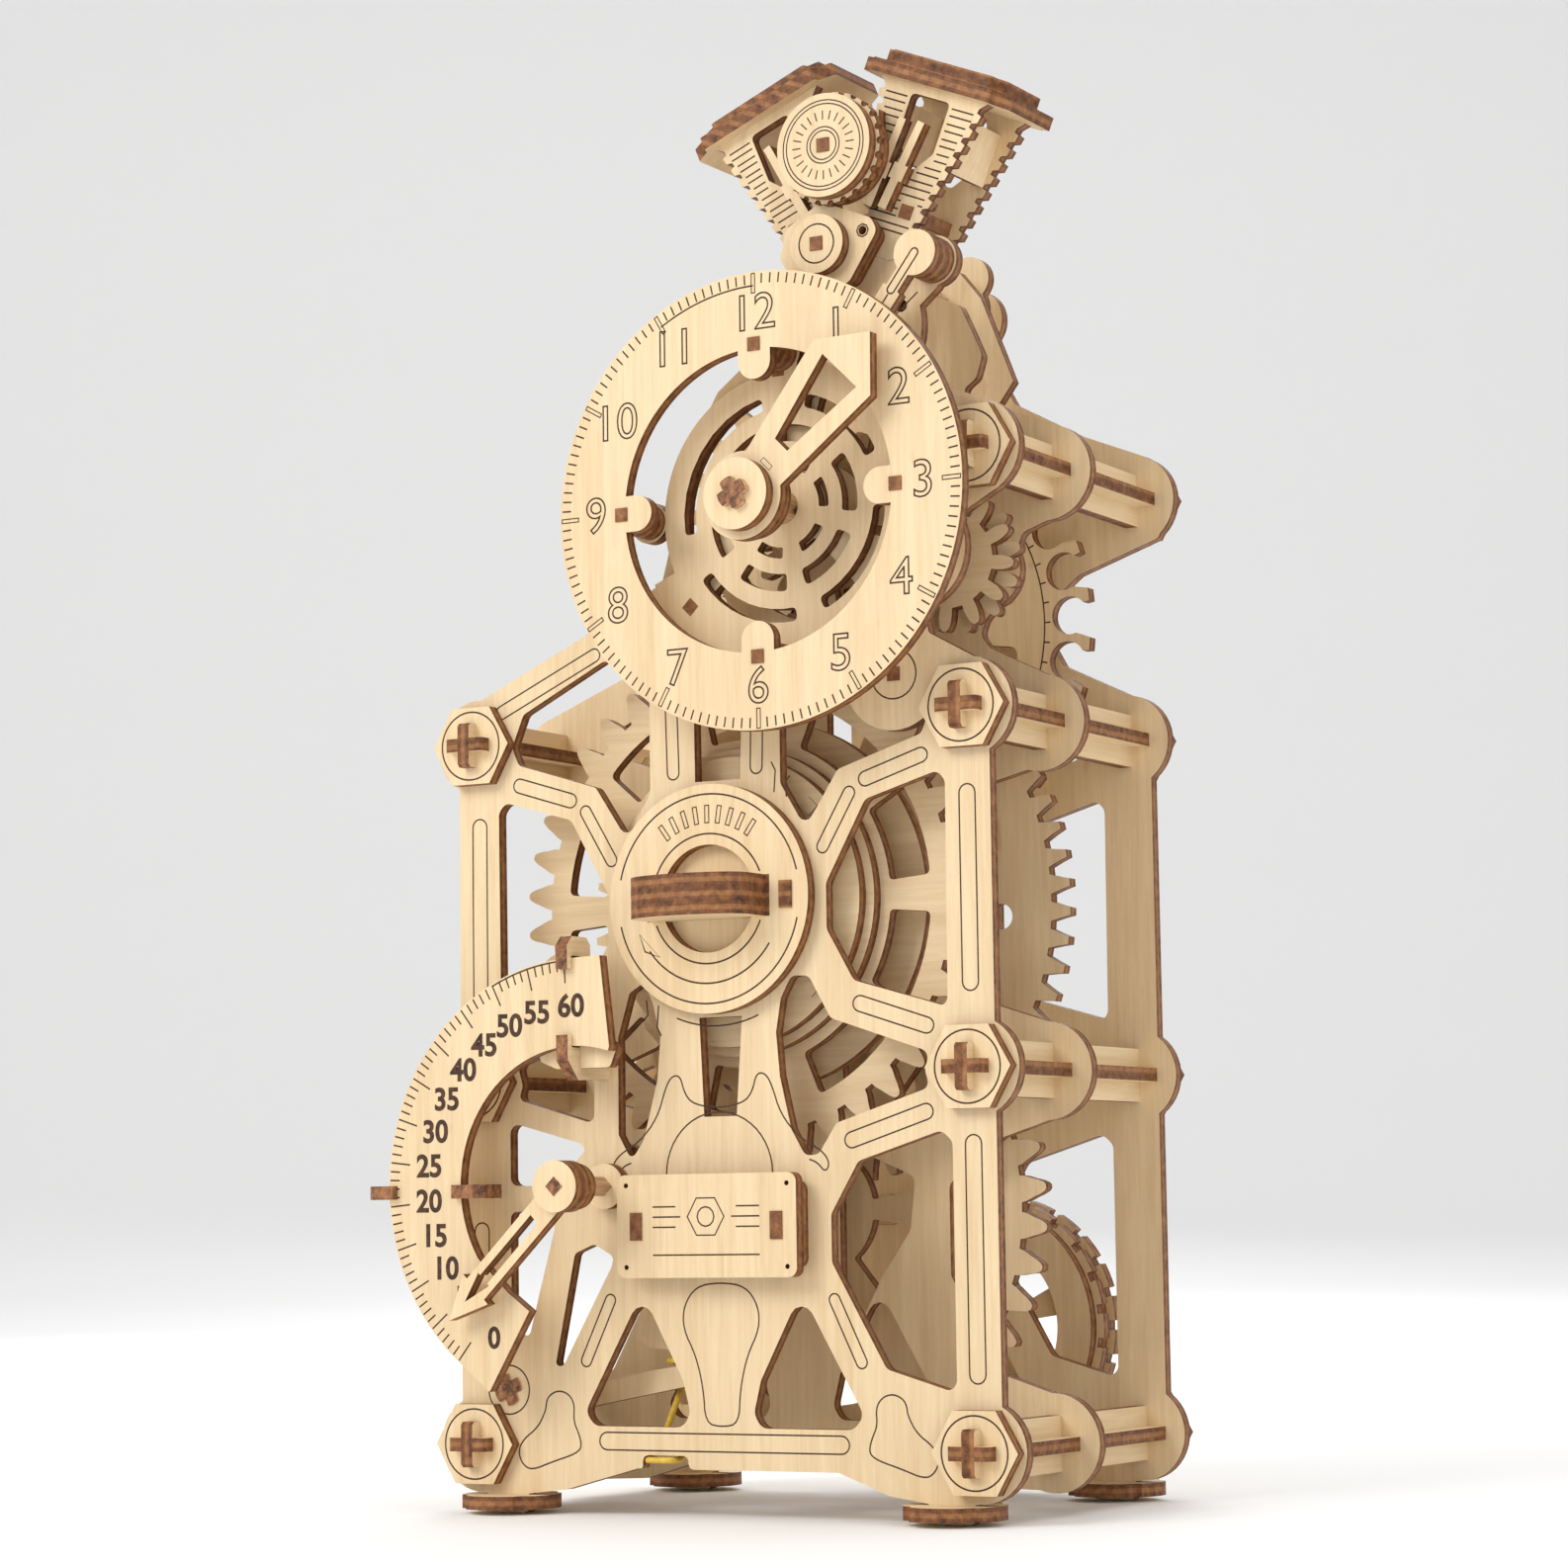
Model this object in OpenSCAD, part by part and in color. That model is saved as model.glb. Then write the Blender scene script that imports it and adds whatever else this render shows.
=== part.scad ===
// Wooden mechanical clock model of laser-cut plywood, with a V-twin engine on top.
// X runs to the right, Y from the front to the back and Z up. Sizes are in millimetres.
// Shapes are drawn about the middle of the frame, with z = 0 at the lowest bolts.

/* [Plywood] */
// Thickness of every sheet
ply = 3; // [2.9:0.05:3.1]
// Width of the square pegs
peg = 3; // [2.9:0.05:3.1]

/* [Frame] */
// Sideways distance between the two columns of bolts
bolt_span = 125; // [124.5:0.5:125.5]
// Height of the middle pair of bolts
bolt_low = 80.1; // [79.6:0.5:80.6]
// Height of the upper pair of bolts
bolt_high = 156.4; // [156:0.5:157]
// Radius of the rounded plate ends around the bolts
lobe_r = 10.7; // [10.2:0.1:11]
// Radius of the hexagonal nuts, to the corners
nut_r = 10.1; // [9.8:0.1:10.3]
// Width of the cross spacers between the plates
spacer_w = 12; // [11.5:0.5:12.5]

/* [Dial] */
// Outer radius of the hour dial
dial_r = 50; // [49:0.5:50.5]
// Radius of the opening in the hour dial
dial_open_r = 33.2; // [32.8:0.2:33.4]

/* [Timer] */
// Outer radius of the timer scale
timer_r = 49.2; // [48.5:0.5:49.5]
// Inner radius of the timer scale
timer_open_r = 30; // [29.5:0.5:30.5]

/* [Train] */
// Radius of the cross-shaped arbors
arbor_r = 3.5; // [3.4:0.05:3.6]
// Clearance round a turning arbor
running = 0.05; // [0.02:0.01:0.08]

/* [Engine] */
// Lean of each cylinder from upright
lean = 22.5; // [22:0.5:23]

/* [Hidden] */
$fn = 64;

// Shift from the drawing origin to the middle of the footprint
mid_x = -2.85;
mid_y = 38.75;
ground = 15;

// Front faces of the three plates
front_y = 3;
middle_y = 38;
rear_y = 82;

// Bolt positions
half = bolt_span / 2;
lone_bolt = [65.3, 211.8];
bolts = [
  [-half, bolt_high], [-half, bolt_low], [-half, 0],
  [half, bolt_high], [half, bolt_low], [half, 0], lone_bolt
];

// Axes of the train, as [x, z]
main_c = [0, 118.5];
hour_c = [20.1, 202.9];
idler_c = [49.78, 191.18];
escape_c = [2.9, 184.44];
anchor_c = [19.6, 262];
timer_c = [-27.6, 56.5];
crank_c = [36.3, 240.5];
corner_c = [-55.1, 11.9];
tyre_c = [19.6, 23.5];

// Teeth of the wheels, and modules as centre distance over half the teeth
great_teeth = 40;
second_teeth = 60;
escape_teeth = 30;
hour_teeth = 24;
drum_teeth = 10;
hour_pinion_teeth = 17;
idler_teeth = 12;
escape_pinion_teeth = 6;
leaf_m = norm(hour_c - main_c) * 2 / (great_teeth + hour_teeth);
lower_c = main_c - [0, leaf_m * (great_teeth + drum_teeth) / 2];

// Depths of the wheels, front faces
great_y = 15.9;
petal_y = [21, 24.5];
drum_y = 47;
second_y = 52;
escape_y = 74.5;

// Colours of the wood
pale = [0.93, 0.84, 0.68];
tan_wood = [0.86, 0.74, 0.55];
deep = [0.62, 0.42, 0.25];

function unit(v) = v / norm(v);
function polar(r, a) = [r * cos(a), r * sin(a)];
function flip(pts) = [for (i = [len(pts) - 1:-1:0]) [-pts[i][0], pts[i][1]]];
function heading(v) = atan2(v[1], v[0]);

// One corner of an outline, rounded to radius r with n short chords
function corner(a, p, b, r, n) =
  let (
    u = unit(a - p),
    v = unit(b - p),
    half_a = acos(max(-1, min(1, u * v))) / 2,
    t = min(r / tan(half_a), 0.46 * norm(a - p), 0.46 * norm(b - p)),
    rr = t * tan(half_a),
    c = p + unit(u + v) * rr / sin(half_a),
    a0 = heading(p + u * t - c),
    a1 = heading(p + v * t - c),
    turn = a1 - a0 > 180 ? a1 - a0 - 360 : a1 - a0 < -180 ? a1 - a0 + 360 : a1 - a0
  )
  half_a > 86 ? [p] : [for (k = [0:n]) c + polar(rr, a0 + turn * k / n)];

function rounded(pts, r, n = 4) =
  let (m = len(pts))
  [for (i = [0:m - 1]) each corner(pts[(i + m - 1) % m], pts[i], pts[(i + 1) % m], r, n)];

// Points round an arc
function arc(c, r, a0, a1, n = 16) = [for (k = [0:n]) c + polar(r, a0 + (a1 - a0) * k / n)];

// A curved slot between two radii
function ring_slot(c, r0, r1, a0, a1, n = 12) = concat(
  arc(c, r1, a0, a1, n), arc(c, r0, a1, a0, n)
);

// Tooth outlines: each row is [radius, half width as a share of the pitch]
function gear(c, teeth, rows, phase) = [
  for (i = [0:teeth - 1])
    each concat(
      [for (q = rows) c + polar(q[0], phase + (i - q[1]) * 360 / teeth)],
      [for (k = [len(rows) - 1:-1:0]) c + polar(rows[k][0], phase + (i + rows[k][1]) * 360 / teeth)]
    )
];

// A sheet part: drawn in X and Z, from y0 for a thickness t
module sheet(y0, t = ply) {
  translate([-mid_x, y0 + t - mid_y, ground])
    rotate([90, 0, 0])
      linear_extrude(t) children();
}

module at(c) {
  translate(c) children();
}

// A solid block between two corners
module block(lo, hi) {
  translate([lo[0] - mid_x, lo[1] - mid_y, lo[2] + ground]) cube(hi - lo);
}

module square_at(c, w, turn = 0) {
  translate(c) rotate(turn) square(w, center = true);
}

// Cross of two strips, for holes and arbors
module cross(w, t = ply, turn = 0) {
  rotate(turn) {
    square([w, t], center = true);
    square([t, w], center = true);
  }
}

// Round-ended cross arbor: corners lie on one cylinder, so it turns in round holes
module arbor(c, y0, y1, turn = 0) {
  sheet(y0, y1 - y0) at(c) intersection() {
    circle(arbor_r);
    cross(2 * arbor_r + 1, ply, turn);
  }
}

module arbor_hole(c, turn = 0) {
  at(c) intersection() {
    circle(arbor_r + 0.02);
    cross(2 * arbor_r + 1, ply + 0.04, turn);
  }
}

module bearing(c, r = arbor_r) {
  at(c) circle(r + running);
}

module bolt_holes(w) {
  for (b = bolts)
    at(b) cross(w);
}

module lobes(r = lobe_r) {
  for (b = bolts)
    at(b) circle(r);
}

// ---------- plates ----------

// Window beside the winding knob
side_window = [
  [37.5, 138.2], [55, 143.2], [56.9, 141], [56.6, 94.5], [55.6, 93.2], [34.1, 99.4], [27.6, 110.7], [27.6, 120.7]
];
// Window beside the name plate
low_window = [
  [34.5, 60.9], [54.6, 67], [57.2, 64.5], [57.2, 14], [55.6, 12.6], [40.6, 17], [27.7, 39.5], [27.7, 49.8]
];
// Curved window below the knob
curve_window = [
  [18.7, 101.1], [23, 100.9], [28.2, 91.6], [52, 83.6], [50.9, 79.6], [52, 76.1],
  [29.3, 69.1], [24.9, 62.6], [21.6, 62.2], [18.2, 68], [15.5, 79.6], [14.7, 89], [16, 96.4]
];
// Window above the knob
high_window = [
  [50.1, 162.9], [28.5, 173.4], [16.6, 170], [16.6, 143], [22.7, 132.8], [30.9, 145.1], [51.4, 151.4], [53.2, 155.6]
];
// Windows of the bottom rail
foot_window = [
  [20, 33.4], [9.8, 14.4], [8, 7.4], [9.8, 4.2], [32.4, 4.2], [35, 7.2]
];

module base_windows() {
  polygon(rounded(side_window, 2.4));
  polygon(rounded(flip(side_window), 2.4));
  polygon(rounded(low_window, 2.4));
  polygon(rounded(foot_window, 3));
  polygon(rounded(flip(foot_window), 3));
}

// Windows in the arms of the hour dial's bearing
module bearing_windows(r0, r1) {
  for (k = [0:2])
    polygon(rounded(ring_slot(hour_c, r0, r1, 100 + 120 * k, 192 + 120 * k), 1.2, 2));
}

front_outline = [
  [-half, -lobe_r], [-61.1, -10.79], [-61, -10.8], [-61, -10.9], [-61, -15], [-50, -15],
  [-50, -10.9], [-50, -10.8], [-49.9, -10.79], [-40.1, -9.7], [-21.6, -4.8],
  [-20.2, -4.8], [-20.2, -1.9], [-8.6, -1.9], [-8.6, -4.8],
  [28.6, -4.8], [40.8, -9.4], [49.9, -10.79], [50, -10.8], [50, -10.9], [50, -15], [61, -15],
  [61, -10.9], [61, -10.8], [61.1, -10.79], [half, -lobe_r],
  [67.6, -5], [67.6, 160], [65.5, 166.3], [53.6, 172.9], [52.6, 179], [61.8, 190], [60.2, 197],
  [71, 202.8], [69, 221.8], [58, 226], [50, 233], [49, 241], [58, 248.4], [53, 255], [44, 255],
  [24, 253], [14, 240], [2, 231], [-8, 214], [-10, 200],
  [-13, 189.6], [-32, 180.1], [-64.5, 165.8], [-67.6, 160], [-67.6, -5]
];

// Cut-outs between the left struts, open to the timer
left_window_top = [[-32, 90.3], [-52.2, 83.7], [-50.9, 79.2], [-52, 76.1], [-32, 70.3]];
left_window_mid = [[-54.3, 71.2], [-36, 66.2], [-34.2, 64.8], [-42.3, 56.9], [-54.3, 57]];
left_window_low = [[-54.3, 51.3], [-47.5, 51.2], [-42.4, 48.3], [-49.6, 23.6], [-54.3, 24]];
left_window_arm = [[-37.4, 41.9], [-32.3, 43.9], [-27.3, 41.1], [-27.8, 39], [-40.8, 17], [-42.7, 17.4]];
left_curve = [
  [-25.6, 89.1], [-22.5, 98.9], [-18.7, 101.1], [-16.5, 96.4], [-14.6, 89], [-15.5, 79.6],
  [-19.2, 66.4], [-22.4, 62], [-25.7, 67.8]
];
stop_peg_c = [45, 164.7];

module front_plate() {
  color(pale) sheet(front_y) difference() {
    union() {
      polygon(rounded(front_outline, 1.2, 2));
      lobes();
      at(idler_c) circle(13);
      at(crank_c) circle(17);
      at(shift_c) circle(5.5);
    }
    base_windows();
    polygon(rounded(curve_window, 2));
    difference() {
      polygon(rounded(high_window, 2));
      at(stop_peg_c) circle(12.2);
    }
    polygon(rounded(flip(high_window), 2));
    polygon(rounded(left_window_top, 1.6));
    polygon(rounded(left_window_mid, 2));
    polygon(rounded(left_window_low, 1.6));
    polygon(rounded(left_window_arm, 1.6));
    polygon(rounded(left_curve, 1.2));
    // slot between the legs below the knob
    polygon([[-4.6, 92.8], [-3.6, 71.2], [4.6, 71.2], [6.2, 92.8]]);
    // slot between the legs above the knob
    polygon([[-5.2, 171], [-5, 144.6], [6.6, 144.6], [7.2, 171]]);
    bearing_windows(9, 26.4);
    bolt_holes(10);
    bearing(main_c, 12.45);
    bearing(hour_c);
    bearing(timer_c, 2.5);
    arbor_hole(corner_c, 25);
    at([48.4, 244.7]) circle(1.4, $fn = 24);
    at([-29.5, 83]) square([ply + 0.04, 6.04], center = true);
    at([-62, 55.8]) square([6.04, ply + 0.04], center = true);
    for (p = peg_points)
      square_at([p[0], p[1]], peg, p[2]);
    for (x = [-17.6, 17.6])
      at([x, 47.6]) square([peg, 6], center = true);
    square_at(stop_peg_c, peg);
    square_at(cam_c, peg + 0.04);
  }
}

middle_outline = [
  [-half, -10.2], [-41, -9.4], [-25, -4.8], [25, -4.8], [41, -9.4], [half, -10.2],
  [68, 8.8], [50, 14.6], [38, 36], [38, 56], [51, 65.8], [66, 70.4], [66, 89.8], [50, 95], [36, 104], [36, 128],
  [46, 143], [64, 147.4], [71, 163.6], [50.7, 173.8], [48.2, 177], [49.6, 180.4], [57.2, 187.6], [57.2, 193.6],
  [59, 199], [72, 203.4], [69.6, 221.6], [57, 226.6], [44, 232], [48.4, 235], [50, 240], [47.4, 246],
  [44.6, 252], [36, 256], [24, 256], [14, 240], [2, 231], [-10, 214], [-14, 196],
  [-24, 183], [-66, 166.4], [-71, 160], [-64, 147.4], [-46, 143], [-36, 128], [-36, 104], [-50, 95],
  [-66, 89.8], [-66, 70.4], [-51, 65.8], [-38, 56], [-38, 36], [-50, 14.6], [-68, 8.8]
];

// Round-cornered windows of the middle plate
middle_side = [[20, 137], [30.5, 150.6], [49, 157], [46, 163], [24, 173.6], [9, 166], [9, 143.4]];
middle_low = [[16, 63.5], [29.5, 57.8], [28.2, 46], [20.6, 35.4], [10.4, 16.4], [10.4, 60]];

module middle_plate() {
  color(tan_wood) sheet(middle_y) difference() {
    union() {
      polygon(rounded(middle_outline, 2.4, 3));
      lobes();
      at(idler_c) circle(8.6);
      at(anchor_c) circle(8.8);
      polygon([[14, 240], [30, 240], [27, 262], [12.4, 262]]);
    }
    polygon(rounded(middle_side, 2));
    polygon(rounded(flip(middle_side), 2));
    polygon(rounded(middle_low, 2));
    difference() {
      polygon(rounded(flip(middle_low), 2));
      at(timer_c) circle(6.5);
    }
    polygon(rounded(foot_window, 3));
    polygon(rounded(flip(foot_window), 3));
    for (s = [-1, 1])
      polygon(rounded([[s * 11, 101], [s * 27.4, 98], [s * 37, 88.6], [s * 49, 84], [s * 49, 76], [s * 27, 70], [s * 12, 73]], 2));
    bearing_windows(9, 23);
    bolt_holes(10);
    for (c = [main_c, hour_c, idler_c, escape_c, lower_c, anchor_c])
      bearing(c);
    bearing(timer_c, 2.5);
    arbor_hole(corner_c, 25);
  }
}

rear_outline = [
  [-half, -lobe_r], [-61.1, -10.79], [-61, -10.8], [-61, -10.9], [-61, -15], [-50, -15],
  [-50, -10.9], [-50, -10.8], [-49.9, -10.79], [-40.1, -9.7], [-21.2, -4.7],
  [28.6, -4.8], [40.8, -9.4], [49.9, -10.79], [50, -10.8], [50, -10.9], [50, -15], [61, -15],
  [61, -10.9], [61, -10.8], [61.1, -10.79], [half, -lobe_r],
  [68.8, -5], [68.8, 160], [69.4, 164.4], [47.2, 175.2], [43.6, 181.6], [44.6, 190.6], [51.6, 196],
  [72.6, 203], [70, 221.6], [53, 228.6], [36, 238], [29.4, 250], [28.6, 262], [10.2, 262], [8.4, 250],
  [0, 236], [-14, 214], [-24, 186], [-66, 166.6], [-68.8, 160], [-68.8, -5]
];

rear_high = [[16, 138], [30.9, 147.6], [51.4, 153.4], [50.6, 161.6], [26.4, 173], [9, 168], [9, 143.4]];
rear_low = [[14, 62], [26, 58.6], [25.4, 40], [14, 17], [7, 34]];

module rear_plate() {
  color(tan_wood) sheet(rear_y) difference() {
    union() {
      polygon(rounded(rear_outline, 1.6, 3));
      lobes();
      at([24.4, 269.3]) circle(5.4);
      at([14.8, 269.3]) circle(5.4);
      at(anchor_c) circle(9.2);
    }
    base_windows();
    polygon(rounded(flip(low_window), 2.4));
    polygon(rounded(rear_high, 2));
    polygon(rounded(flip(rear_high), 2));
    for (s = [-1, 1])
      polygon(rounded([[s * 11, 101], [s * 24, 98], [s * 30, 91.4], [s * 52, 83.6], [s * 52, 76.4], [s * 28, 69], [s * 12, 73]], 2));
    polygon(rounded([[-6, 202], [34, 202], [40, 212], [30, 232], [14, 236], [2, 226]], 3));
    bolt_holes(10);
    for (c = [main_c, escape_c, anchor_c, lower_c])
      bearing(c);
  }
}

// ---------- bolts ----------

// Hexagonal nut with two flats level
module nuts(y0) {
  sheet(y0) for (b = bolts)
    at(b) difference() {
      circle(nut_r, $fn = 6);
      cross(10);
    }
}

module hex_nuts() {
  color(pale) {
    nuts(front_y - ply);
    nuts(rear_y + ply);
  }
}

// One strip of a cross spacer, seen from the side: shoulders between two plates,
// a tenon through each end, and a slot over half its length for its partner
function strip(y0, y1, out0, out1, slot0, slot1) = [
  [out0, -4.3], [out0 + 0.7, -5], [y0, -5], [y0, -spacer_w / 2], [y1, -spacer_w / 2], [y1, -5],
  [out1 - 0.7, -5], [out1, -4.3],
  each slot1 ? [[out1, -ply / 2], [(out0 + out1) / 2, -ply / 2], [(out0 + out1) / 2, ply / 2], [out1, ply / 2]] : [],
  [out1, 4.3], [out1 - 0.7, 5], [y1, 5], [y1, spacer_w / 2], [y0, spacer_w / 2], [y0, 5],
  [out0 + 0.7, 5], [out0, 4.3],
  each slot0 ? [[out0, ply / 2], [(out0 + out1) / 2, ply / 2], [(out0 + out1) / 2, -ply / 2], [out0, -ply / 2]] : []
];

// Upright strips lie in the YZ plane, flat strips in the XY plane
module strips(outline, upright) {
  for (b = bolts)
    translate([b[0] - mid_x, -mid_y, b[1] + ground])
      if (upright)
        rotate([90, 0, 90]) translate([0, 0, -ply / 2]) linear_extrude(ply) polygon(outline);
      else
        rotate([0, 0, 90]) mirror([0, 1, 0]) translate([0, 0, -ply / 2]) linear_extrude(ply) polygon(outline);
}

front_bay = [front_y + ply, middle_y, front_y - 2 * ply, middle_y + ply / 2];
rear_bay = [middle_y + ply, rear_y, middle_y + ply / 2, rear_y + 3 * ply];

module front_spacer_uprights() {
  color(deep) strips(strip(front_bay[0], front_bay[1], front_bay[2], front_bay[3], false, true), true);
}

module front_spacer_flats() {
  color(pale) strips(strip(front_bay[0], front_bay[1], front_bay[2], front_bay[3], true, false), false);
}

module rear_spacer_uprights() {
  color(deep) strips(strip(rear_bay[0], rear_bay[1], rear_bay[2], rear_bay[3], false, true), true);
}

module rear_spacer_flats() {
  color(pale) strips(strip(rear_bay[0], rear_bay[1], rear_bay[2], rear_bay[3], true, false), false);
}

// Notched discs that the tabs of the front and rear plates stand in
module feet() {
  color(deep)
    for (x = [-55.5, 55.5], y = [front_y + ply / 2, rear_y + ply / 2])
      translate([x - mid_x, y - mid_y, ground - 14]) linear_extrude(ply) difference() {
        circle(11);
        square([11.04, ply + 0.04], center = true);
        for (a = [45:90:315])
          rotate(a) translate([12.2, 0]) circle(2.4);
      }
}

// ---------- hour dial ----------

peg_points = [
  [hour_c[0], hour_c[1] + 34.1, 0], [hour_c[0] + 34.1, hour_c[1], 0],
  [hour_c[0], hour_c[1] - 34.1, 0], [hour_c[0] - 34.1, hour_c[1], 0],
  [19.2, 233.6, 0], [-3.9, 183.1, 45]
];

module dial_ring() {
  color(pale) sheet(-12) difference() {
    union() {
      difference() {
        at(hour_c) circle(dial_r, $fn = 128);
        at(hour_c) circle(dial_open_r, $fn = 96);
      }
      for (k = [0:3])
        at(hour_c) rotate(90 * k) {
          translate([33.4, 0]) square([6, 8], center = true);
          translate([30.4, 0]) circle(4);
        }
    }
    for (k = [0:3])
      square_at([peg_points[k][0], peg_points[k][1]], peg);
  }
}

// Rows of curved slots as [inner radius, outer radius, start angle, end angle]
backing_slots = [
  [22.3, 25.3, 102, 189], [22.3, 25.3, 214, 277], [22.3, 25.3, 293, 356], [22.3, 25.3, 24, 76],
  [14.6, 18.4, 110, 150], [14.6, 18.4, 186, 212], [14.6, 18.4, 232, 272], [14.6, 18.4, 287, 336],
  [14.6, 18.4, 352, 396], [14.6, 18.4, 50, 92],
  [8.8, 11.2, 232, 268], [8.8, 11.2, 294, 332], [8.8, 11.2, 356, 392], [8.8, 11.2, 52, 92], [8.8, 11.2, 112, 152]
];

module dial_backing() {
  color(pale) sheet(0) difference() {
    union() {
      at(hour_c) circle(30.3);
      polygon(concat([hour_c], arc(hour_c, 36, 203, 440, 40)));
      for (k = [0:3])
        at(hour_c) rotate(90 * k) translate([34.4, 0]) circle(4.6);
      polygon([[12, 226], [24, 226], [24, 238], [14, 238]]);
    }
    for (s = backing_slots)
      polygon(rounded(ring_slot(hour_c, s[0], s[1], s[2], s[3], 8), 0.9, 2));
    bearing(hour_c);
    for (p = peg_points)
      square_at([p[0], p[1]], peg, p[2]);
  }
}

module dial_spacers() {
  color(tan_wood) sheet(-9, 9) for (k = [0:3])
    difference() {
      at(hour_c) rotate(90 * k) translate([34.1, 0]) circle(3.9);
      square_at(hour_c + polar(34.1, 90 * k), peg);
    }
}

// Square pegs: dial, backing, name plate, air filter and cam cap
module square_pegs() {
  color(deep) {
    for (k = [0:3])
      sheet(-12.3, 18.3) square_at([peg_points[k][0], peg_points[k][1]], peg);
    for (k = [4:5])
      sheet(0.01, 5.99) square_at([peg_points[k][0], peg_points[k][1]], peg, peg_points[k][2]);
    for (x = [-17.6, 17.6])
      sheet(-3.3, 9.3) at([x, 47.6]) square([peg, 6], center = true);
    sheet(-9.3, 12.5) square_at(filter_c, peg);
    sheet(-6.3, 15.5) square_at(cam_c, peg);
    sheet(2.7, 11) square_at(stop_peg_c, peg);
    for (s = [-1, 1])
      sheet(2.7, 21.6) cylinder_frame(s) square_at([s * 3.2, 28], peg);
  }
}

// ---------- plates on the front ----------

plate_pts = [[-22.5, 36.5], [22.5, 36.5], [22.5, 58.8], [-22.5, 58.8]];

module name_plate() {
  color(pale) sheet(-3) difference() {
    polygon(rounded(plate_pts, 2, 5));
    for (x = [-17.6, 17.6])
      at([x, 47.6]) square([peg, 6], center = true);
    for (x = [-20.2, 20.2], z = [38.8, 56.5])
      at([x, z]) circle(0.55, $fn = 20);
  }
}

module name_plate_spacer() {
  color(tan_wood) sheet(0) difference() {
    polygon(rounded([[-21.5, 38.5], [22, 38.5], [22, 57], [-21.5, 57]], 2, 4));
    for (x = [-17.6, 17.6])
      at([x, 47.6]) square([peg, 6], center = true);
    polygon([[-12, 41], [12, 41], [12, 54.5], [-12, 54.5]]);
  }
}

// ---------- timer ----------

scale_c = [-27.6, 57];
timer_outline = concat(
  [[-20.8, 106.5], [-18.5, 86.6]],
  arc(scale_c, timer_open_r, 73, 212, 32),
  [[-45.3, 33.7], [-39.7, 29.6], [-50.2, 12.1]],
  arc(scale_c, timer_r, 229.6, 92.8, 48)
);

module timer_scale() {
  color(pale) sheet(-12) polygon(timer_outline);
}

// Short tab behind the upper end of the scale, in two halves beside the clip
module timer_scale_tab() {
  color(pale) sheet(-9) difference() {
    polygon(rounded([[-38.4, 84], [-34, 82.2], [-20.2, 82.2], [-18.4, 86.6], [-24, 90.4], [-38, 89.6]], 1, 2));
    translate([-29.5, 86]) square([ply + 0.1, 20], center = true);
  }
}

// Hooked clips that hold the scale: one upright and one level
clip_upright = [
  [-13.8, 84], [-13.8, 89.4], [-12.1, 89.4], [-12.1, 86.7], [-8.9, 86.7], [-8.9, 106.7], [-12.1, 106.7],
  [-12.1, 103.8], [-13.8, 103.8], [-13.8, 109], [-11.8, 111], [-6, 111], [-4.4, 109.4], [-4.4, 88.4],
  [-2.4, 86], [6, 86], [6, 80], [2.9, 80], [-9.6, 79.6]
];
clip_level = [
  [-81.7, -6], [-81.7, -12.4], [-80.2, -13.8], [-74.6, -13.8], [-74.6, -12.1], [-77, -12.1], [-77, -8.9],
  [-57.4, -8.9], [-57.4, -12.1], [-58.9, -12.1], [-58.9, -13.8], [-53.2, -13.8], [-51, -11.8], [-51, -5.6],
  [-53, -3.6], [-59, -2], [-59, 6], [-65, 6], [-65, -2.4], [-78, -3.4]
];

module timer_clips() {
  color(deep) {
    translate([-29.5 - mid_x, -mid_y, ground]) rotate([90, 0, 90]) translate([0, 0, -ply / 2])
      linear_extrude(ply) polygon(clip_upright);
    translate([-mid_x, -mid_y, 55.8 + ground - ply / 2])
      linear_extrude(ply) polygon(clip_level);
  }
}

// Fixed cross axle at the lower left corner
module corner_axle() {
  color(deep) arbor(corner_c, 2.6, 41.3, 25);
}

// Lever that turns on the corner axle, with a neck for the band and a hook above it
module stop_lever() {
  color(tan_wood) sheet(14) difference() {
    polygon(concat(
      arc(corner_c, 7, 35, 285, 20),
      [[-37.5, 8.4], [-16, 12.4], [-12.2, 13.4], [-11.6, 15.6], [-12.9, 16.6], [-12.9, 20.4], [-11.8, 21.2]],
      [[-11.8, 24], [-14, 26], [-15.5, 34], [-20, 34.4], [-22.8, 30.5], [-26.6, 30], [-26.4, 28], [-24.6, 25.4]],
      [[-27.6, 22.2], [-24.6, 20.8], [-18.3, 20.4], [-18.3, 16.8], [-24.5, 15.9], [-38, 13.2]]
    ));
    bearing(corner_c);
  }
}

// Stretched band: round the neck of the lever, down behind it and under the bottom rail
band_side = [
  [12.4, 17.2], [12.4, 19.2], [18.4, 19.2], [18.4, 10.6], [7.4, -3.2], [1.6, -3.5], [1.6, -2.4], [6.8, -2.2],
  [17.3, 11], [17.3, 17.2]
];

module rubber_band() {
  color([0.95, 0.78, 0.2]) {
    for (x = [-19.8, -12.6])
      translate([x - mid_x, -mid_y, ground]) rotate([90, 0, 90]) linear_extrude(1.2) polygon(band_side);
    block([-19.8, 12.4, 17.2], [-11.4, 13.6, 19.2]);
    block([-19.8, 1.6, -3.4], [-11.4, 2.7, -2.4]);
  }
}

timer_angle = 224.2;

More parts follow.
